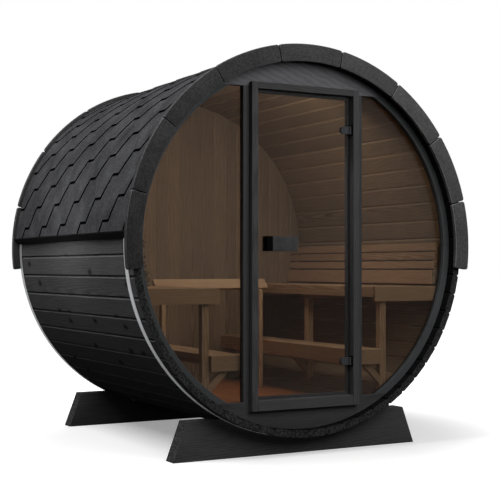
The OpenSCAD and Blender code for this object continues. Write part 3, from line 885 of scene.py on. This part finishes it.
@dataclass
class Roof:
    """The shingled half roof with its deck, eave strips and curved fascia boards."""

    centre: float = 1.218
    deck_radius: float = 1.1359
    eave_height: float = 0.070
    exposure: float = 0.1345
    first_flat: float = 0.0695
    pitch: float = 0.350
    shift: float = 0.110
    flat: float = 0.088
    slant: float = 0.087
    felt: float = 2.4 * MM
    lift: float = 2.4
    course_reach: float = 2.3
    shadow_share: tuple[float, float] = (0.6, 6.0)
    cap: tuple[float, float] = (0.25, 0.21)
    cap_lap: float = 0.3
    columns: int = 391
    fascia_outer: float = 1.1657
    fascia_inner: float = 1.065
    fascia_count: int = 9
    fascia_step: float = math.radians(21.6)
    fascia_joint: float = 0.005
    corner: float = 0.014
    rim: float = 6.0 * MM
    seed: int = 23

    def course(
        self, recipe: Recipe, sizes: Mapping[str, bpy.types.NodeSocket], phase: float, drop: float, over: float,
    ) -> bpy.types.Node:
        """Adds the nodes of one course of shingles, wrapped round the barrel's axis from angle zero.

        Args:
            recipe: The recipe that gets the nodes.
            sizes: The recipe's inputs by name.
            phase: Share of a tab by which the course is moved along.
            drop: Distance by which its tabs hang below angle zero, where they are cut off.
            over: Height of the next course's tabs above angle zero.

        Returns:
            The node with the course as a closed sheet.
        """
        grid = recipe.add("GeometryNodeMeshGrid", {
            "Size X": sizes["Length"], "Size Y": 1.0, "Vertices X": sizes["Columns"], "Vertices Y": 6,
        })
        place = recipe.add("GeometryNodeInputPosition")
        parts = recipe.add("ShaderNodeSeparateXYZ", {0: place})
        along = recipe.add("ShaderNodeMath", {0: parts.outputs[0], 1: sizes["Shift"]}, operation="SUBTRACT")
        tabs = recipe.add("ShaderNodeMath", {0: along, 1: sizes["Pitch"]}, operation="DIVIDE")
        rises, waves, turns = [], [], []
        for ahead, lift in ((phase, -drop), (phase + 0.5, over)):
            moved = recipe.add("ShaderNodeMath", {0: tabs, 1: ahead}, operation="ADD")
            share = recipe.add("ShaderNodeMath", {0: moved}, operation="FRACT")
            turns.append(recipe.add("ShaderNodeMath", {0: share, 1: 0.5}, operation="SUBTRACT"))
            far = recipe.add("ShaderNodeMath", {0: turns[-1]}, operation="ABSOLUTE")
            reach = recipe.add("ShaderNodeMath", {0: far, 1: sizes["Pitch"]}, operation="MULTIPLY")
            half = recipe.add("ShaderNodeMath", {0: sizes["Flat"], 1: -0.5, 2: reach}, operation="MULTIPLY_ADD")
            waves.append(recipe.add("ShaderNodeMath", {0: half, 1: sizes["Slant"]}, operation="DIVIDE", use_clamp=True))
            rises.append(recipe.add("ShaderNodeMath", {
                0: waves[-1], 1: sizes["Exposure"], 2: lift,
            }, operation="MULTIPLY_ADD"))
        rise, covered = rises
        low = recipe.add("ShaderNodeMath", {0: rise, 1: 0.0}, operation="MAXIMUM")
        tall = recipe.add("ShaderNodeMath", {
            0: sizes["Exposure"], 1: self.course_reach, 2: -drop,
        }, operation="MULTIPLY_ADD")
        free = recipe.add("ShaderNodeMath", {0: tall, 1: low}, operation="SUBTRACT")
        share_up = recipe.add("ShaderNodeMath", {0: parts.outputs[1], 1: 0.5}, operation="ADD")
        height = recipe.add("ShaderNodeMath", {0: share_up, 1: free, 2: low}, operation="MULTIPLY_ADD")
        above = recipe.add("ShaderNodeMath", {0: covered, 1: height}, operation="SUBTRACT")
        # The painted shadow of the next course is wide under the slants that face the front, and there the way up to
        # the lap is longer than the way across; under the other slants it is a hairline
        faced = recipe.add("ShaderNodeMath", {0: turns[1], 1: sizes["Facing"]}, operation="MULTIPLY")
        side = recipe.add("ShaderNodeMapRange", {
            0: faced, 1: -0.01, 2: 0.01, 3: self.shadow_share[0], 4: self.shadow_share[1],
        })
        slanted = recipe.add("ShaderNodeMath", {0: waves[1], 1: 0.5}, operation="PINGPONG")
        share_of = recipe.add("ShaderNodeMapRange", {0: slanted, 1: 0.0, 2: 0.06, 3: 1.0, 4: side})
        open_part = recipe.add("ShaderNodeMath", {0: above, 1: share_of}, operation="MULTIPLY")
        lapped = recipe.add("GeometryNodeStoreNamedAttribute", {
            "Geometry": grid, "Name": "lap", "Value": open_part,
        }, data_type="FLOAT", domain="POINT")
        angle = recipe.add("ShaderNodeMath", {0: height, 1: sizes["Radius"]}, operation="DIVIDE")
        sunk = recipe.add("ShaderNodeMath", {0: height, 1: tall}, operation="DIVIDE")
        left = recipe.add("ShaderNodeMath", {0: 1.0, 1: sunk}, operation="SUBTRACT")
        out = recipe.add("ShaderNodeMath", {0: left, 1: sizes["Lift"], 2: sizes["Radius"]}, operation="MULTIPLY_ADD")
        cosine = recipe.add("ShaderNodeMath", {0: angle}, operation="COSINE")
        sine = recipe.add("ShaderNodeMath", {0: angle}, operation="SINE")
        x = recipe.add("ShaderNodeMath", {0: out, 1: cosine}, operation="MULTIPLY")
        z = recipe.add("ShaderNodeMath", {0: out, 1: sine}, operation="MULTIPLY")
        spot = recipe.add("ShaderNodeCombineXYZ", {0: x, 1: parts.outputs[0], 2: z})
        wrapped = recipe.add("GeometryNodeSetPosition", {"Geometry": lapped, "Position": spot})
        return self.sheet(recipe, wrapped, sizes["Felt"])

    @staticmethod
    def sheet(recipe: Recipe, surface: Link, felt: Link) -> bpy.types.Node:
        """Adds the nodes that give a surface the felt's thickness, with its cut edges marked.

        Args:
            recipe: The recipe that gets the nodes.
            surface: The open surface.
            felt: The thickness.

        Returns:
            The node with the closed sheet.
        """
        thick = recipe.add("GeometryNodeExtrudeMesh", {
            "Mesh": surface, "Offset Scale": felt, "Individual": False,
        }, mode="FACES")
        marked = recipe.add("GeometryNodeStoreNamedAttribute", {
            "Geometry": thick, "Name": "cut_edge", "Value": thick.outputs["Side"],
        }, data_type="FLOAT", domain="FACE")
        under = recipe.add("GeometryNodeFlipFaces", {0: surface})
        joined = recipe.add("GeometryNodeJoinGeometry", {0: [marked, under]})
        return recipe.add("GeometryNodeMergeByDistance", {"Geometry": joined, "Distance": 0.05 * MM})

    def ridge(self, material: bpy.types.Material) -> bpy.types.Mesh:
        """Laps short caps along the ridge, where the courses of the two sides meet.

        Args:
            material: The finish of the caps.

        Returns:
            The mesh of all the caps.
        """
        low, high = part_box("shingles_left")
        count = round((high.y - low.y) / self.cap[1])
        step = (high.y - low.y - self.cap_lap * self.cap[1]) / count
        recipe = Recipe("ridge_caps")
        pieces = recipe.size("Caps", count)
        width = recipe.size("Width", self.cap[0])
        length = recipe.size("Length", (1 + self.cap_lap) * step)
        radius = recipe.size("Radius", self.deck_radius + (self.lift + 1.1) * self.felt)
        felt = recipe.size("Felt", self.felt)
        pitch = recipe.size("Cap pitch", step)
        first = recipe.size("First cap", low.y + (1 + self.cap_lap) / 2 * step)
        centre = recipe.size("Centre height", self.centre + 0.7 * self.felt)
        slope = recipe.size("Slope", self.felt / step)
        finish = recipe.size("Felt finish", material)
        grid = recipe.add("GeometryNodeMeshGrid", {
            "Size X": width, "Size Y": length, "Vertices X": 17, "Vertices Y": 2,
        })
        parts = recipe.add("ShaderNodeSeparateXYZ", {0: recipe.add("GeometryNodeInputPosition")})
        angle = recipe.add("ShaderNodeMath", {0: parts.outputs[0], 1: radius}, operation="DIVIDE")
        sine = recipe.add("ShaderNodeMath", {0: angle}, operation="SINE")
        cosine = recipe.add("ShaderNodeMath", {0: angle}, operation="COSINE")
        x = recipe.add("ShaderNodeMath", {0: sine, 1: radius}, operation="MULTIPLY")
        z = recipe.add("ShaderNodeMath", {0: cosine, 1: radius}, operation="MULTIPLY")
        tilted = recipe.add("ShaderNodeMath", {0: parts.outputs[1], 1: slope, 2: z}, operation="MULTIPLY_ADD")
        spot = recipe.add("ShaderNodeCombineXYZ", {0: x, 1: parts.outputs[1], 2: tilted})
        bent = recipe.add("GeometryNodeSetPosition", {"Geometry": grid, "Position": spot})
        # The lap is the distance to the next cap's edge, under which each cap's painted shadow lies
        bare = recipe.add("ShaderNodeMath", {
            0: pitch, 1: (1 - self.cap_lap) / 2, 2: parts.outputs[1],
        }, operation="MULTIPLY_ADD")
        clear = recipe.add("GeometryNodeStoreNamedAttribute", {
            "Geometry": bent, "Name": "lap", "Value": bare,
        }, data_type="FLOAT", domain="POINT")
        start = recipe.add("ShaderNodeCombineXYZ", {1: first, 2: centre})
        ahead = recipe.add("ShaderNodeCombineXYZ", {1: pitch})
        line = recipe.add("GeometryNodeMeshLine", {"Count": pieces, "Start Location": start, "Offset": ahead})
        laid = recipe.add("GeometryNodeInstanceOnPoints", {
            "Points": line, "Instance": self.sheet(recipe, clear, felt),
        })
        real = recipe.add("GeometryNodeRealizeInstances", {0: laid})
        return recipe.run(recipe.add("GeometryNodeSetMaterial", {"Geometry": real, "Material": finish}))

    def shingles(self, side: Side, material: bpy.types.Material) -> bpy.types.Mesh:
        """Lays the courses of one side, each turned up from the one below and moved by half a tab.

        Args:
            side: The side of the roof.
            material: The finish of the shingles.

        Returns:
            The mesh of all the courses.
        """
        low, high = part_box("shingles_left")
        start = math.asin(self.eave_height / self.deck_radius)
        rows = math.floor((math.pi / 2 - start) * self.deck_radius / self.exposure)
        recipe = Recipe(f"shingles_{side.name.lower()}")
        sizes = {name: recipe.size(name, value) for name, value in {
            "Length": high.y - low.y, "Columns": self.columns, "Pitch": self.pitch, "Shift": self.shift,
            "Flat": self.flat, "Slant": self.slant, "Exposure": self.exposure, "Radius": self.deck_radius,
            "Lift": self.lift * self.felt, "Felt": self.felt, "Rows": rows, "Eave angle": start,
            "First angle": start + self.first_flat / self.deck_radius, "Row angle": self.exposure / self.deck_radius,
            "Facing": float(side.value), "Centre height": self.centre,
            "Turn": 0.0 if side is Side.RIGHT else math.pi, "Felt finish": material,
        }.items()}
        line = recipe.add("GeometryNodeMeshLine", {"Count": sizes["Rows"], "Offset": (0, 0, 0)})
        index = recipe.add("GeometryNodeInputIndex")
        raised = recipe.add("ShaderNodeMath", {
            0: index, 1: sizes["Row angle"], 2: sizes["First angle"],
        }, operation="MULTIPLY_ADD")
        upward = recipe.add("ShaderNodeMath", {0: raised, 1: -1.0}, operation="MULTIPLY")
        turn = recipe.turned(upward)
        odd = recipe.add("ShaderNodeMath", {0: index, 1: 2.0}, operation="MODULO")
        even = recipe.add("ShaderNodeMath", {0: 1.0, 1: odd}, operation="SUBTRACT")
        laid = []
        for choice, phase in ((even, 0.0), (odd, 0.5)):
            laid.append(recipe.add("GeometryNodeInstanceOnPoints", {
                "Points": line, "Selection": choice, "Rotation": turn,
                "Instance": self.course(recipe, sizes, phase, 0.0, self.exposure),
            }))
        sunk = recipe.add("ShaderNodeMath", {0: sizes["Eave angle"], 1: -1.0}, operation="MULTIPLY")
        eave_turn = recipe.add("ShaderNodeCombineXYZ", {1: sunk})
        hidden = self.exposure - self.first_flat
        eave = recipe.add("GeometryNodeTransform", {
            "Geometry": self.course(recipe, sizes, 0.5, hidden, self.first_flat), "Rotation": eave_turn,
        })
        # A straight starter strip one felt lower closes the notches of the eave course
        under = (self.deck_radius - 1.05 * self.felt) / self.deck_radius
        starter = recipe.add("GeometryNodeTransform", {
            "Geometry": self.course(recipe, sizes, 0.0, self.exposure, -hidden), "Rotation": eave_turn,
            "Scale": (under, 1.0, under),
        })
        joined = recipe.add("GeometryNodeJoinGeometry", {0: [*laid, eave, starter]})
        real = recipe.add("GeometryNodeRealizeInstances", {0: joined})
        # What reaches over the ridge is folded down to the ridge line
        place = recipe.add("GeometryNodeInputPosition")
        parts = recipe.add("ShaderNodeSeparateXYZ", {0: place})
        kept = recipe.add("ShaderNodeMath", {0: parts.outputs[0], 1: 0.2 * MM}, operation="MAXIMUM")
        spot = recipe.add("ShaderNodeCombineXYZ", {0: kept, 1: parts.outputs[1], 2: parts.outputs[2]})
        ridge = recipe.add("GeometryNodeSetPosition", {"Geometry": real, "Position": spot})
        lifted = recipe.add("ShaderNodeCombineXYZ", {2: sizes["Centre height"]})
        faced = recipe.add("ShaderNodeCombineXYZ", {2: sizes["Turn"]})
        final = recipe.add("GeometryNodeTransform", {
            "Geometry": ridge, "Translation": lifted, "Rotation": faced,
        })
        felt = recipe.add("GeometryNodeSetMaterial", {"Geometry": final, "Material": sizes["Felt finish"]})
        return recipe.run(felt)

    def fascia_board(self, depth: tuple[float, float]) -> bpy.types.Object:
        """Makes one curved board on the X axis, with rounded corners.

        Args:
            depth: Its two faces along Y.

        Returns:
            The board, as a source for the fascia.
        """
        reach = self.fascia_step / 2 - self.fascia_joint / self.fascia_outer / 2
        steps = 20
        outline = []
        for radius, order in ((self.fascia_outer, 1), (self.fascia_inner, -1)):
            for i in range(steps + 1):
                angle = order * reach * (2 * i / steps - 1)
                outline.append((radius * math.cos(angle), radius * math.sin(angle)))
        shape = swept_outline(outline, depth)
        corners = [
            e for e in shape.edges
            if abs(e.verts[0].co.y - e.verts[1].co.y) > 1e-6 and e.calc_face_angle(0.0) > math.radians(40)
        ]
        rounding = {"offset_type": "OFFSET", "profile": 0.5, "affect": "EDGES"}
        bmesh.ops.bevel(shape, geom=corners, offset=self.corner, segments=5, **rounding)
        rims = [e for e in shape.edges if abs(e.verts[0].co.y - e.verts[1].co.y) < 1e-6]
        bmesh.ops.bevel(shape, geom=rims, offset=self.rim, segments=3, **rounding)
        return board_source("fascia_board", shape, self.seed)

    def fascia(self, node: str, material: bpy.types.Material) -> bpy.types.Mesh:
        """Sets the curved boards side by side over the roof's end.

        Args:
            node: The fascia's node, which gives its place along Y.
            material: The finish of the boards.

        Returns:
            The mesh of the whole fascia.
        """
        low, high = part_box(node)
        source = self.fascia_board((low.y, high.y))
        recipe = Recipe(f"{node}_boards")
        count = recipe.size("Boards", self.fascia_count)
        board = recipe.size("Board", source)
        centre = recipe.size("Centre height", self.centre)
        step = recipe.size("Board angle", self.fascia_step)
        start = recipe.size("First angle", math.pi / 2 - (self.fascia_count - 1) / 2 * self.fascia_step)
        finish = recipe.size("Finish", material)
        seed = recipe.size("Seed", self.seed + len(node))
        base = recipe.add("ShaderNodeCombineXYZ", {2: centre})
        line = recipe.add("GeometryNodeMeshLine", {"Count": count, "Start Location": base, "Offset": (0, 0, 0)})
        index = recipe.add("GeometryNodeInputIndex")
        angle = recipe.add("ShaderNodeMath", {0: index, 1: step, 2: start}, operation="MULTIPLY_ADD")
        upward = recipe.add("ShaderNodeMath", {0: angle, 1: -1.0}, operation="MULTIPLY")
        placed = recipe.copies(line, board, {"Rotation": recipe.turned(upward)})
        # The boards are drawn paler towards the right, painted light as from a lamp at the front right,
        # on top of each board's random tone
        tone = recipe.add("FunctionNodeRandomValue", {2: 0.0, 3: 0.25, "Seed": seed}, data_type="FLOAT")
        aspect = recipe.add("ShaderNodeMath", {0: angle}, operation="COSINE")
        painted_light_ramp = recipe.add("ShaderNodeMapRange", {0: aspect, 1: -0.8, 2: 0.6, 3: 0.0, 4: 0.75})
        tone_and_painted_light = recipe.add("ShaderNodeMath", {0: tone.outputs[1], 1: painted_light_ramp}, operation="ADD")
        dressed = recipe.add("GeometryNodeSetMaterial", {
            "Geometry": recipe.toned(placed, tone_and_painted_light), "Material": finish,
        })
        mesh = recipe.run(dressed)
        bpy.data.objects.remove(source)
        return mesh

    def build(self, painted_shade: bpy.types.Material) -> None:
        """Makes the roof's pieces.

        Args:
            painted_shade: The near black finish of the deck and the eave strips, painted shade.
        """
        felt = ROOF_FELT.material()
        for side in Side:
            name = side.name.lower()
            piece = new_object(f"shingle_courses_{name}", self.shingles(side, felt))
            hand_over(piece, Body.SAUNA, Slot.SHINGLE, f"shingles_{name}")
        hand_over(new_object("ridge_caps", self.ridge(felt)), Body.SAUNA, Slot.SHINGLE)
        sawn = FASCIA_TIMBER.material()
        for node in ("fascia_front", "fascia_rear"):
            hand_over(new_object(f"{node}_boards", self.fascia(node, sawn)), Body.SAUNA, Slot.BLACK_WOOD, node)
        nodes = ("roof_deck_left", "roof_deck_right")
        # The deck and the eave strips take the near black finish, painted shade under the roof's edge
        timber_piece("roof_deck_boards", nodes, painted_shade, 1.0 * MM, Slot.BLACK_WOOD, self.seed)
        timber_piece("eave_strip_pair", ("eave_strips",), painted_shade, 2.0 * MM, Slot.BLACK_WOOD, self.seed + 1)


@dataclass
class Front:
    """The glazed front wall with the door's frame, on the cradles."""

    arris: float = 2.0 * MM
    seed: int = 41
    groups: Mapping[str, Sequence[str]] = field(default_factory=lambda: {
        "cradle_beam_front": ("cradle_front",),
        "cradle_beam_rear": ("cradle_rear",),
        "front_lower_panel": ("front_sill_panel",),
        "front_posts": ("front_post_left", "front_post_right"),
        "door_frame": ("door_jambs", "door_head", "door_sill"),
    })

    def build(self, black: bpy.types.Material, glass: bpy.types.Material) -> None:
        """Makes the front's pieces.

        Args:
            black: The finish of the timber.
            glass: The finish of the panes.
        """
        for i, (name, nodes) in enumerate(self.groups.items()):
            timber_piece(name, nodes, black, self.arris, Slot.BLACK_WOOD, self.seed + i)
        rings = ("front_ring_left", "front_ring_right")
        timber_piece("front_curved_frame", rings, RING_TIMBER.material(), self.arris, Slot.BLACK_WOOD, self.seed + 9)
        panel = PANEL_TIMBER.material()
        timber_piece("front_upper_panel", ("front_head_panel",), panel, self.arris, Slot.BLACK_WOOD, self.seed)
        for node in ("side_glass_left", "side_glass_right"):
            dress_node(node, glass)


@dataclass
class Door:
    """The glass leaf with its hinges and handles."""

    arris: float = 1.2 * MM
    bracket_arris: float = 0.8 * MM
    block_end: float = -0.2275

    def build(self, glass: bpy.types.Material) -> None:
        """Makes the door's pieces.

        Args:
            glass: The finish of the leaf.
        """
        dress_node("door_glass", glass)
        coat = HINGE_COAT.material()
        block, grip = BLOCK_COAT.material(), GRIP_COAT.material()
        for name, node, material, arris, body in (
            ("hinge_bases", "hinge_brackets", block, self.bracket_arris, Body.SAUNA),
            ("hinge_leaf_clamps", "hinge_clamps", coat, self.arris, Body.DOOR),
        ):
            hand_over(new_object(name, eased_copy(name, (node,), arris), material), body, Slot.METAL, node)
        for node in ("handle_outside", "handle_inside"):
            mesh = eased_copy(f"{node}_block_and_grip", (node,), self.arris)
            piece = new_object(f"{node}_block_and_grip", mesh, block, grip)
            for polygon in mesh.polygons:
                polygon.material_index = 1 if polygon.center.x > self.block_end else 0
            hand_over(piece, Body.DOOR, Slot.METAL, node)


@dataclass
class Cabin:
    """The rear wall, the floor and the two-tier benches."""

    arris: float = 2.5 * MM
    floor_board: float = 0.096
    floor_gap: float = 2.0 * MM
    seed: int = 71
    benches: Mapping[str, Sequence[str]] = field(default_factory=lambda: {
        "upper_bench_boards": ("upper_bench_left", "upper_bench_right"),
        "lower_bench_boards": ("lower_bench_left", "lower_bench_right"),
        "bench_trestles": ("bench_legs_left", "bench_legs_right"),
        "backrest_slats": ("backrest_left", "backrest_right"),
        "guard_rail_and_posts": ("guard_rail",),
    })

    def rear_wall(self, black: bpy.types.Material, inner: bpy.types.Material) -> None:
        """Makes the rear wall.

        Args:
            black: The finish of its weather side.
            inner: The finish of the cabin's side.
        """
        piece = timber_piece("rear_wall_boards", ("rear_wall",), black, 1.5 * MM, Slot.BLACK_WOOD, self.seed)
        piece.data.materials.append(inner)
        low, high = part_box("rear_wall")
        middle = (low.y + high.y) / 2
        for polygon in piece.data.polygons:
            polygon.material_index = 1 if polygon.center.y < middle and polygon.normal.y < -0.1 else 0

    def floor(self, material: bpy.types.Material) -> bpy.types.Mesh:
        """Lays the floor boards side by side, cut to the barrel at both edges.

        Args:
            material: The finish of the boards.

        Returns:
            The mesh of the floor.
        """
        low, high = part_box("floor")
        count = math.ceil((high.x - low.x) / self.floor_board)
        shape = bmesh.new()
        bmesh.ops.create_cube(shape, size=1.0)
        sizes = (self.floor_board - self.floor_gap, high.y - low.y, high.z - low.z)
        bmesh.ops.scale(shape, verts=shape.verts[:], vec=sizes)
        ease_edges(shape, 2.0 * MM)
        source = board_source("floor_board", shape, self.seed)
        recipe = Recipe("floor_boards")
        boards = recipe.size("Boards", count)
        board = recipe.size("Board", source)
        pitch = recipe.size("Board pitch", self.floor_board)
        first = recipe.size("First board", -(count - 1) / 2 * self.floor_board)
        level = recipe.size("Level", (low.z + high.z) / 2)
        edge = recipe.size("Half width", high.x)
        middle = recipe.size("Middle", (low.y + high.y) / 2)
        finish = recipe.size("Finish", material)
        seed = recipe.size("Seed", self.seed)
        start = recipe.add("ShaderNodeCombineXYZ", {0: first, 1: middle, 2: level})
        step = recipe.add("ShaderNodeCombineXYZ", {0: pitch})
        line = recipe.add("GeometryNodeMeshLine", {"Count": boards, "Start Location": start, "Offset": step})
        placed = recipe.copies(line, board, {})
        tone = recipe.add("FunctionNodeRandomValue", {2: 0.0, 3: 1.0, "Seed": seed}, data_type="FLOAT")
        real = recipe.toned(placed, tone.outputs[1])
        # The outer boards are ripped to the width that is left
        place = recipe.add("GeometryNodeInputPosition")
        parts = recipe.add("ShaderNodeSeparateXYZ", {0: place})
        other = recipe.add("ShaderNodeMath", {0: edge, 1: -1.0}, operation="MULTIPLY")
        trimmed = recipe.add("ShaderNodeClamp", {0: parts.outputs[0], 1: other, 2: edge})
        spot = recipe.add("ShaderNodeCombineXYZ", {0: trimmed, 1: parts.outputs[1], 2: parts.outputs[2]})
        ripped = recipe.add("GeometryNodeSetPosition", {"Geometry": real, "Position": spot})
        dressed = recipe.add("GeometryNodeSetMaterial", {"Geometry": ripped, "Material": finish})
        made = recipe.run(dressed)
        bpy.data.objects.remove(source)
        return made

    def build(self, black: bpy.types.Material) -> None:
        """Makes the cabin's pieces.

        Args:
            black: The finish of the rear wall's weather side.
        """
        self.rear_wall(black, INNER_TIMBER.material())
        floor = new_object("floor_boards", self.floor(FLOOR_TIMBER.material()))
        hand_over(floor, Body.SAUNA, Slot.NATURAL_WOOD, "floor")
        bench = BENCH_TIMBER.material()
        for i, (name, nodes) in enumerate(self.benches.items()):
            timber_piece(name, nodes, bench, self.arris, Slot.NATURAL_WOOD, self.seed + 1 + i)


@dataclass(frozen=True)
class Lamp:
    """A square soft lamp: its place, the point that it faces, its width, power and beam."""

    name: str
    place: tuple[float, float, float]
    target: tuple[float, float, float]
    size: float
    watts: float
    beam_deg: float = 180.0

    def hang(self) -> None:
        """Hangs the lamp where only its light shows."""
        data = bpy.data.lights.new(self.name, "AREA")
        data.size = self.size
        data.energy = self.watts
        data.spread = math.radians(self.beam_deg)
        lamp = bpy.data.objects.new(self.name, data)
        lamp.visible_camera = lamp.visible_glossy = False
        lamp.location = self.place
        lamp.rotation_euler = (Vector(self.target) - Vector(self.place)).to_track_quat("-Z", "Y").to_euler()
        bpy.context.scene.collection.objects.link(lamp)


@dataclass
class Studio:
    """The pale floor, the soft lamps and the camera."""

    camera_place: Vector = field(default_factory=lambda: Vector((-3.498, -6.542, 1.083)))
    camera_turn: float = math.radians(-28.38)
    lens: float = 81.14
    shift: tuple[float, float] = (0.0301, 0.0369)
    horizon: float = 0.11
    zenith: float = 0.38
    glow: tuple[float, float] = (0.30, 0.87)
    glow_ring: tuple[float, float] = (1.3, 2.3)
    floor_reach: float = 60.0
    lamps: Sequence[Lamp] = (
        Lamp("left_softbox", (-4.2, -0.3, 5.8), (0.0, 0.0, 1.2), 3.0, 295.0),
        Lamp("eave_softbox", (-4.6, -1.0, 2.0), (-1.1, 0.0, 1.33), 0.5, 0.5, 14.0),
        Lamp("front_softbox", (0.9, -4.2, 3.3), (0.1, -1.0, 1.4), 3.0, 84.0),
        Lamp("rear_softbox", (1.8, 4.8, 3.0), (0.0, 1.0, 1.3), 2.5, 60.0),
        Lamp("cabin_light", (0.0, -0.70, 2.02), (0.0, 0.6, 0.9), 0.5, 8.5),
    )

    @staticmethod
    def seen(tree: bpy.types.NodeTree, mirrored: float) -> bpy.types.Node:
        """Adds the test for rays that show a surface, straight on, through glass or mirrored.

        Args:
            tree: The node tree that gets the test.
            mirrored: Share by which mirrored rays count.

        Returns:
            The node that is 1 for such rays and 0 for rays that only carry light.
        """
        rays = add_node(tree, "ShaderNodeLightPath")
        direct = add_node(tree, "ShaderNodeMath", {
            0: rays.outputs["Is Camera Ray"], 1: rays.outputs["Is Transmission Ray"],
        }, operation="ADD", use_clamp=True)
        return add_node(tree, "ShaderNodeMath", {
            0: rays.outputs["Is Glossy Ray"], 1: mirrored, 2: direct,
        }, operation="MULTIPLY_ADD", use_clamp=True)

    def floor(self) -> None:
        """Lays the floor, which shows white where nothing shades it and throws little light back up."""
        shape = bmesh.new()
        bmesh.ops.create_grid(shape, x_segments=1, y_segments=1, size=self.floor_reach)
        mesh = finished_mesh("studio_floor", shape)
        material, tree, shader = Finish("white studio paper").start()
        seen = self.seen(tree, 0.4)
        paper = add_node(tree, "ShaderNodeMix", {
            0: seen, 6: hex_linear("303030"), 7: hex_linear("f8f8f8"),
        }, data_type="RGBA")
        # Away from the lamps the paper would look grey, so there it glows more
        where = add_node(tree, "ShaderNodeTexCoord")
        far = add_node(tree, "ShaderNodeVectorMath", {0: where.outputs["Object"]}, operation="LENGTH")
        glow = add_node(tree, "ShaderNodeMapRange", {
            0: far.outputs["Value"], 1: self.glow_ring[0], 2: self.glow_ring[1], 3: self.glow[0], 4: self.glow[1],
        }, interpolation_type="SMOOTHSTEP")
        shown = add_node(tree, "ShaderNodeMath", {0: seen, 1: glow}, operation="MULTIPLY")
        set_inputs(tree, shader, {
            "Base Color": paper.outputs[2], "Emission Strength": shown, "Emission Color": hex_linear("ffffff"),
            "Roughness": 0.9, "Specular IOR Level": 0.0,
        })
        new_object("studio_floor", mesh, material)

    def world(self) -> None:
        """Sets the soft light from above, with white where the camera sees it."""
        world = bpy.data.worlds.new("studio")
        world.use_nodes = True
        bpy.context.scene.world = world
        tree = world.node_tree
        where = add_node(tree, "ShaderNodeTexCoord")
        parts = add_node(tree, "ShaderNodeSeparateXYZ", {0: where.outputs["Generated"]})
        sky = add_node(tree, "ShaderNodeMapRange", {0: parts.outputs[2], 3: self.horizon, 4: self.zenith})
        strength = add_node(tree, "ShaderNodeMix", {0: self.seen(tree, 1.0), 2: sky, 3: 1.0}, data_type="FLOAT")
        set_inputs(tree, tree.nodes["Background"], {"Color": hex_linear("ffffff"), "Strength": strength})

    def camera(self) -> None:
        """Sets the camera at the photograph's place."""
        data = bpy.data.cameras.new("camera")
        data.sensor_width = 36.0
        data.lens = self.lens
        data.shift_x, data.shift_y = self.shift
        camera = bpy.data.objects.new("camera", data)
        camera.location = self.camera_place
        camera.rotation_euler = (math.pi / 2, 0.0, self.camera_turn)
        bpy.context.scene.collection.objects.link(camera)
        bpy.context.scene.camera = camera

    def build(self) -> None:
        """Sets up floor, light and camera."""
        bpy.context.scene.view_settings.view_transform = "Standard"
        self.floor()
        self.world()
        for lamp in self.lamps:
            lamp.hang()
        self.camera()


def main() -> None:
    """Builds the sub-assemblies in order, then the studio."""
    logging.basicConfig(level=logging.INFO, format="%(name)s: %(message)s")
    black, painted_shade, glass = BLACK_TIMBER.material(), SHADE_PAINTED_TIMBER.material(), GLASS.material()
    Barrel().build(painted_shade)
    Roof().build(painted_shade)
    Front().build(black, glass)
    Door().build(glass)
    Cabin().build(black)
    Studio().build()


if __name__ == "__main__":
    main()
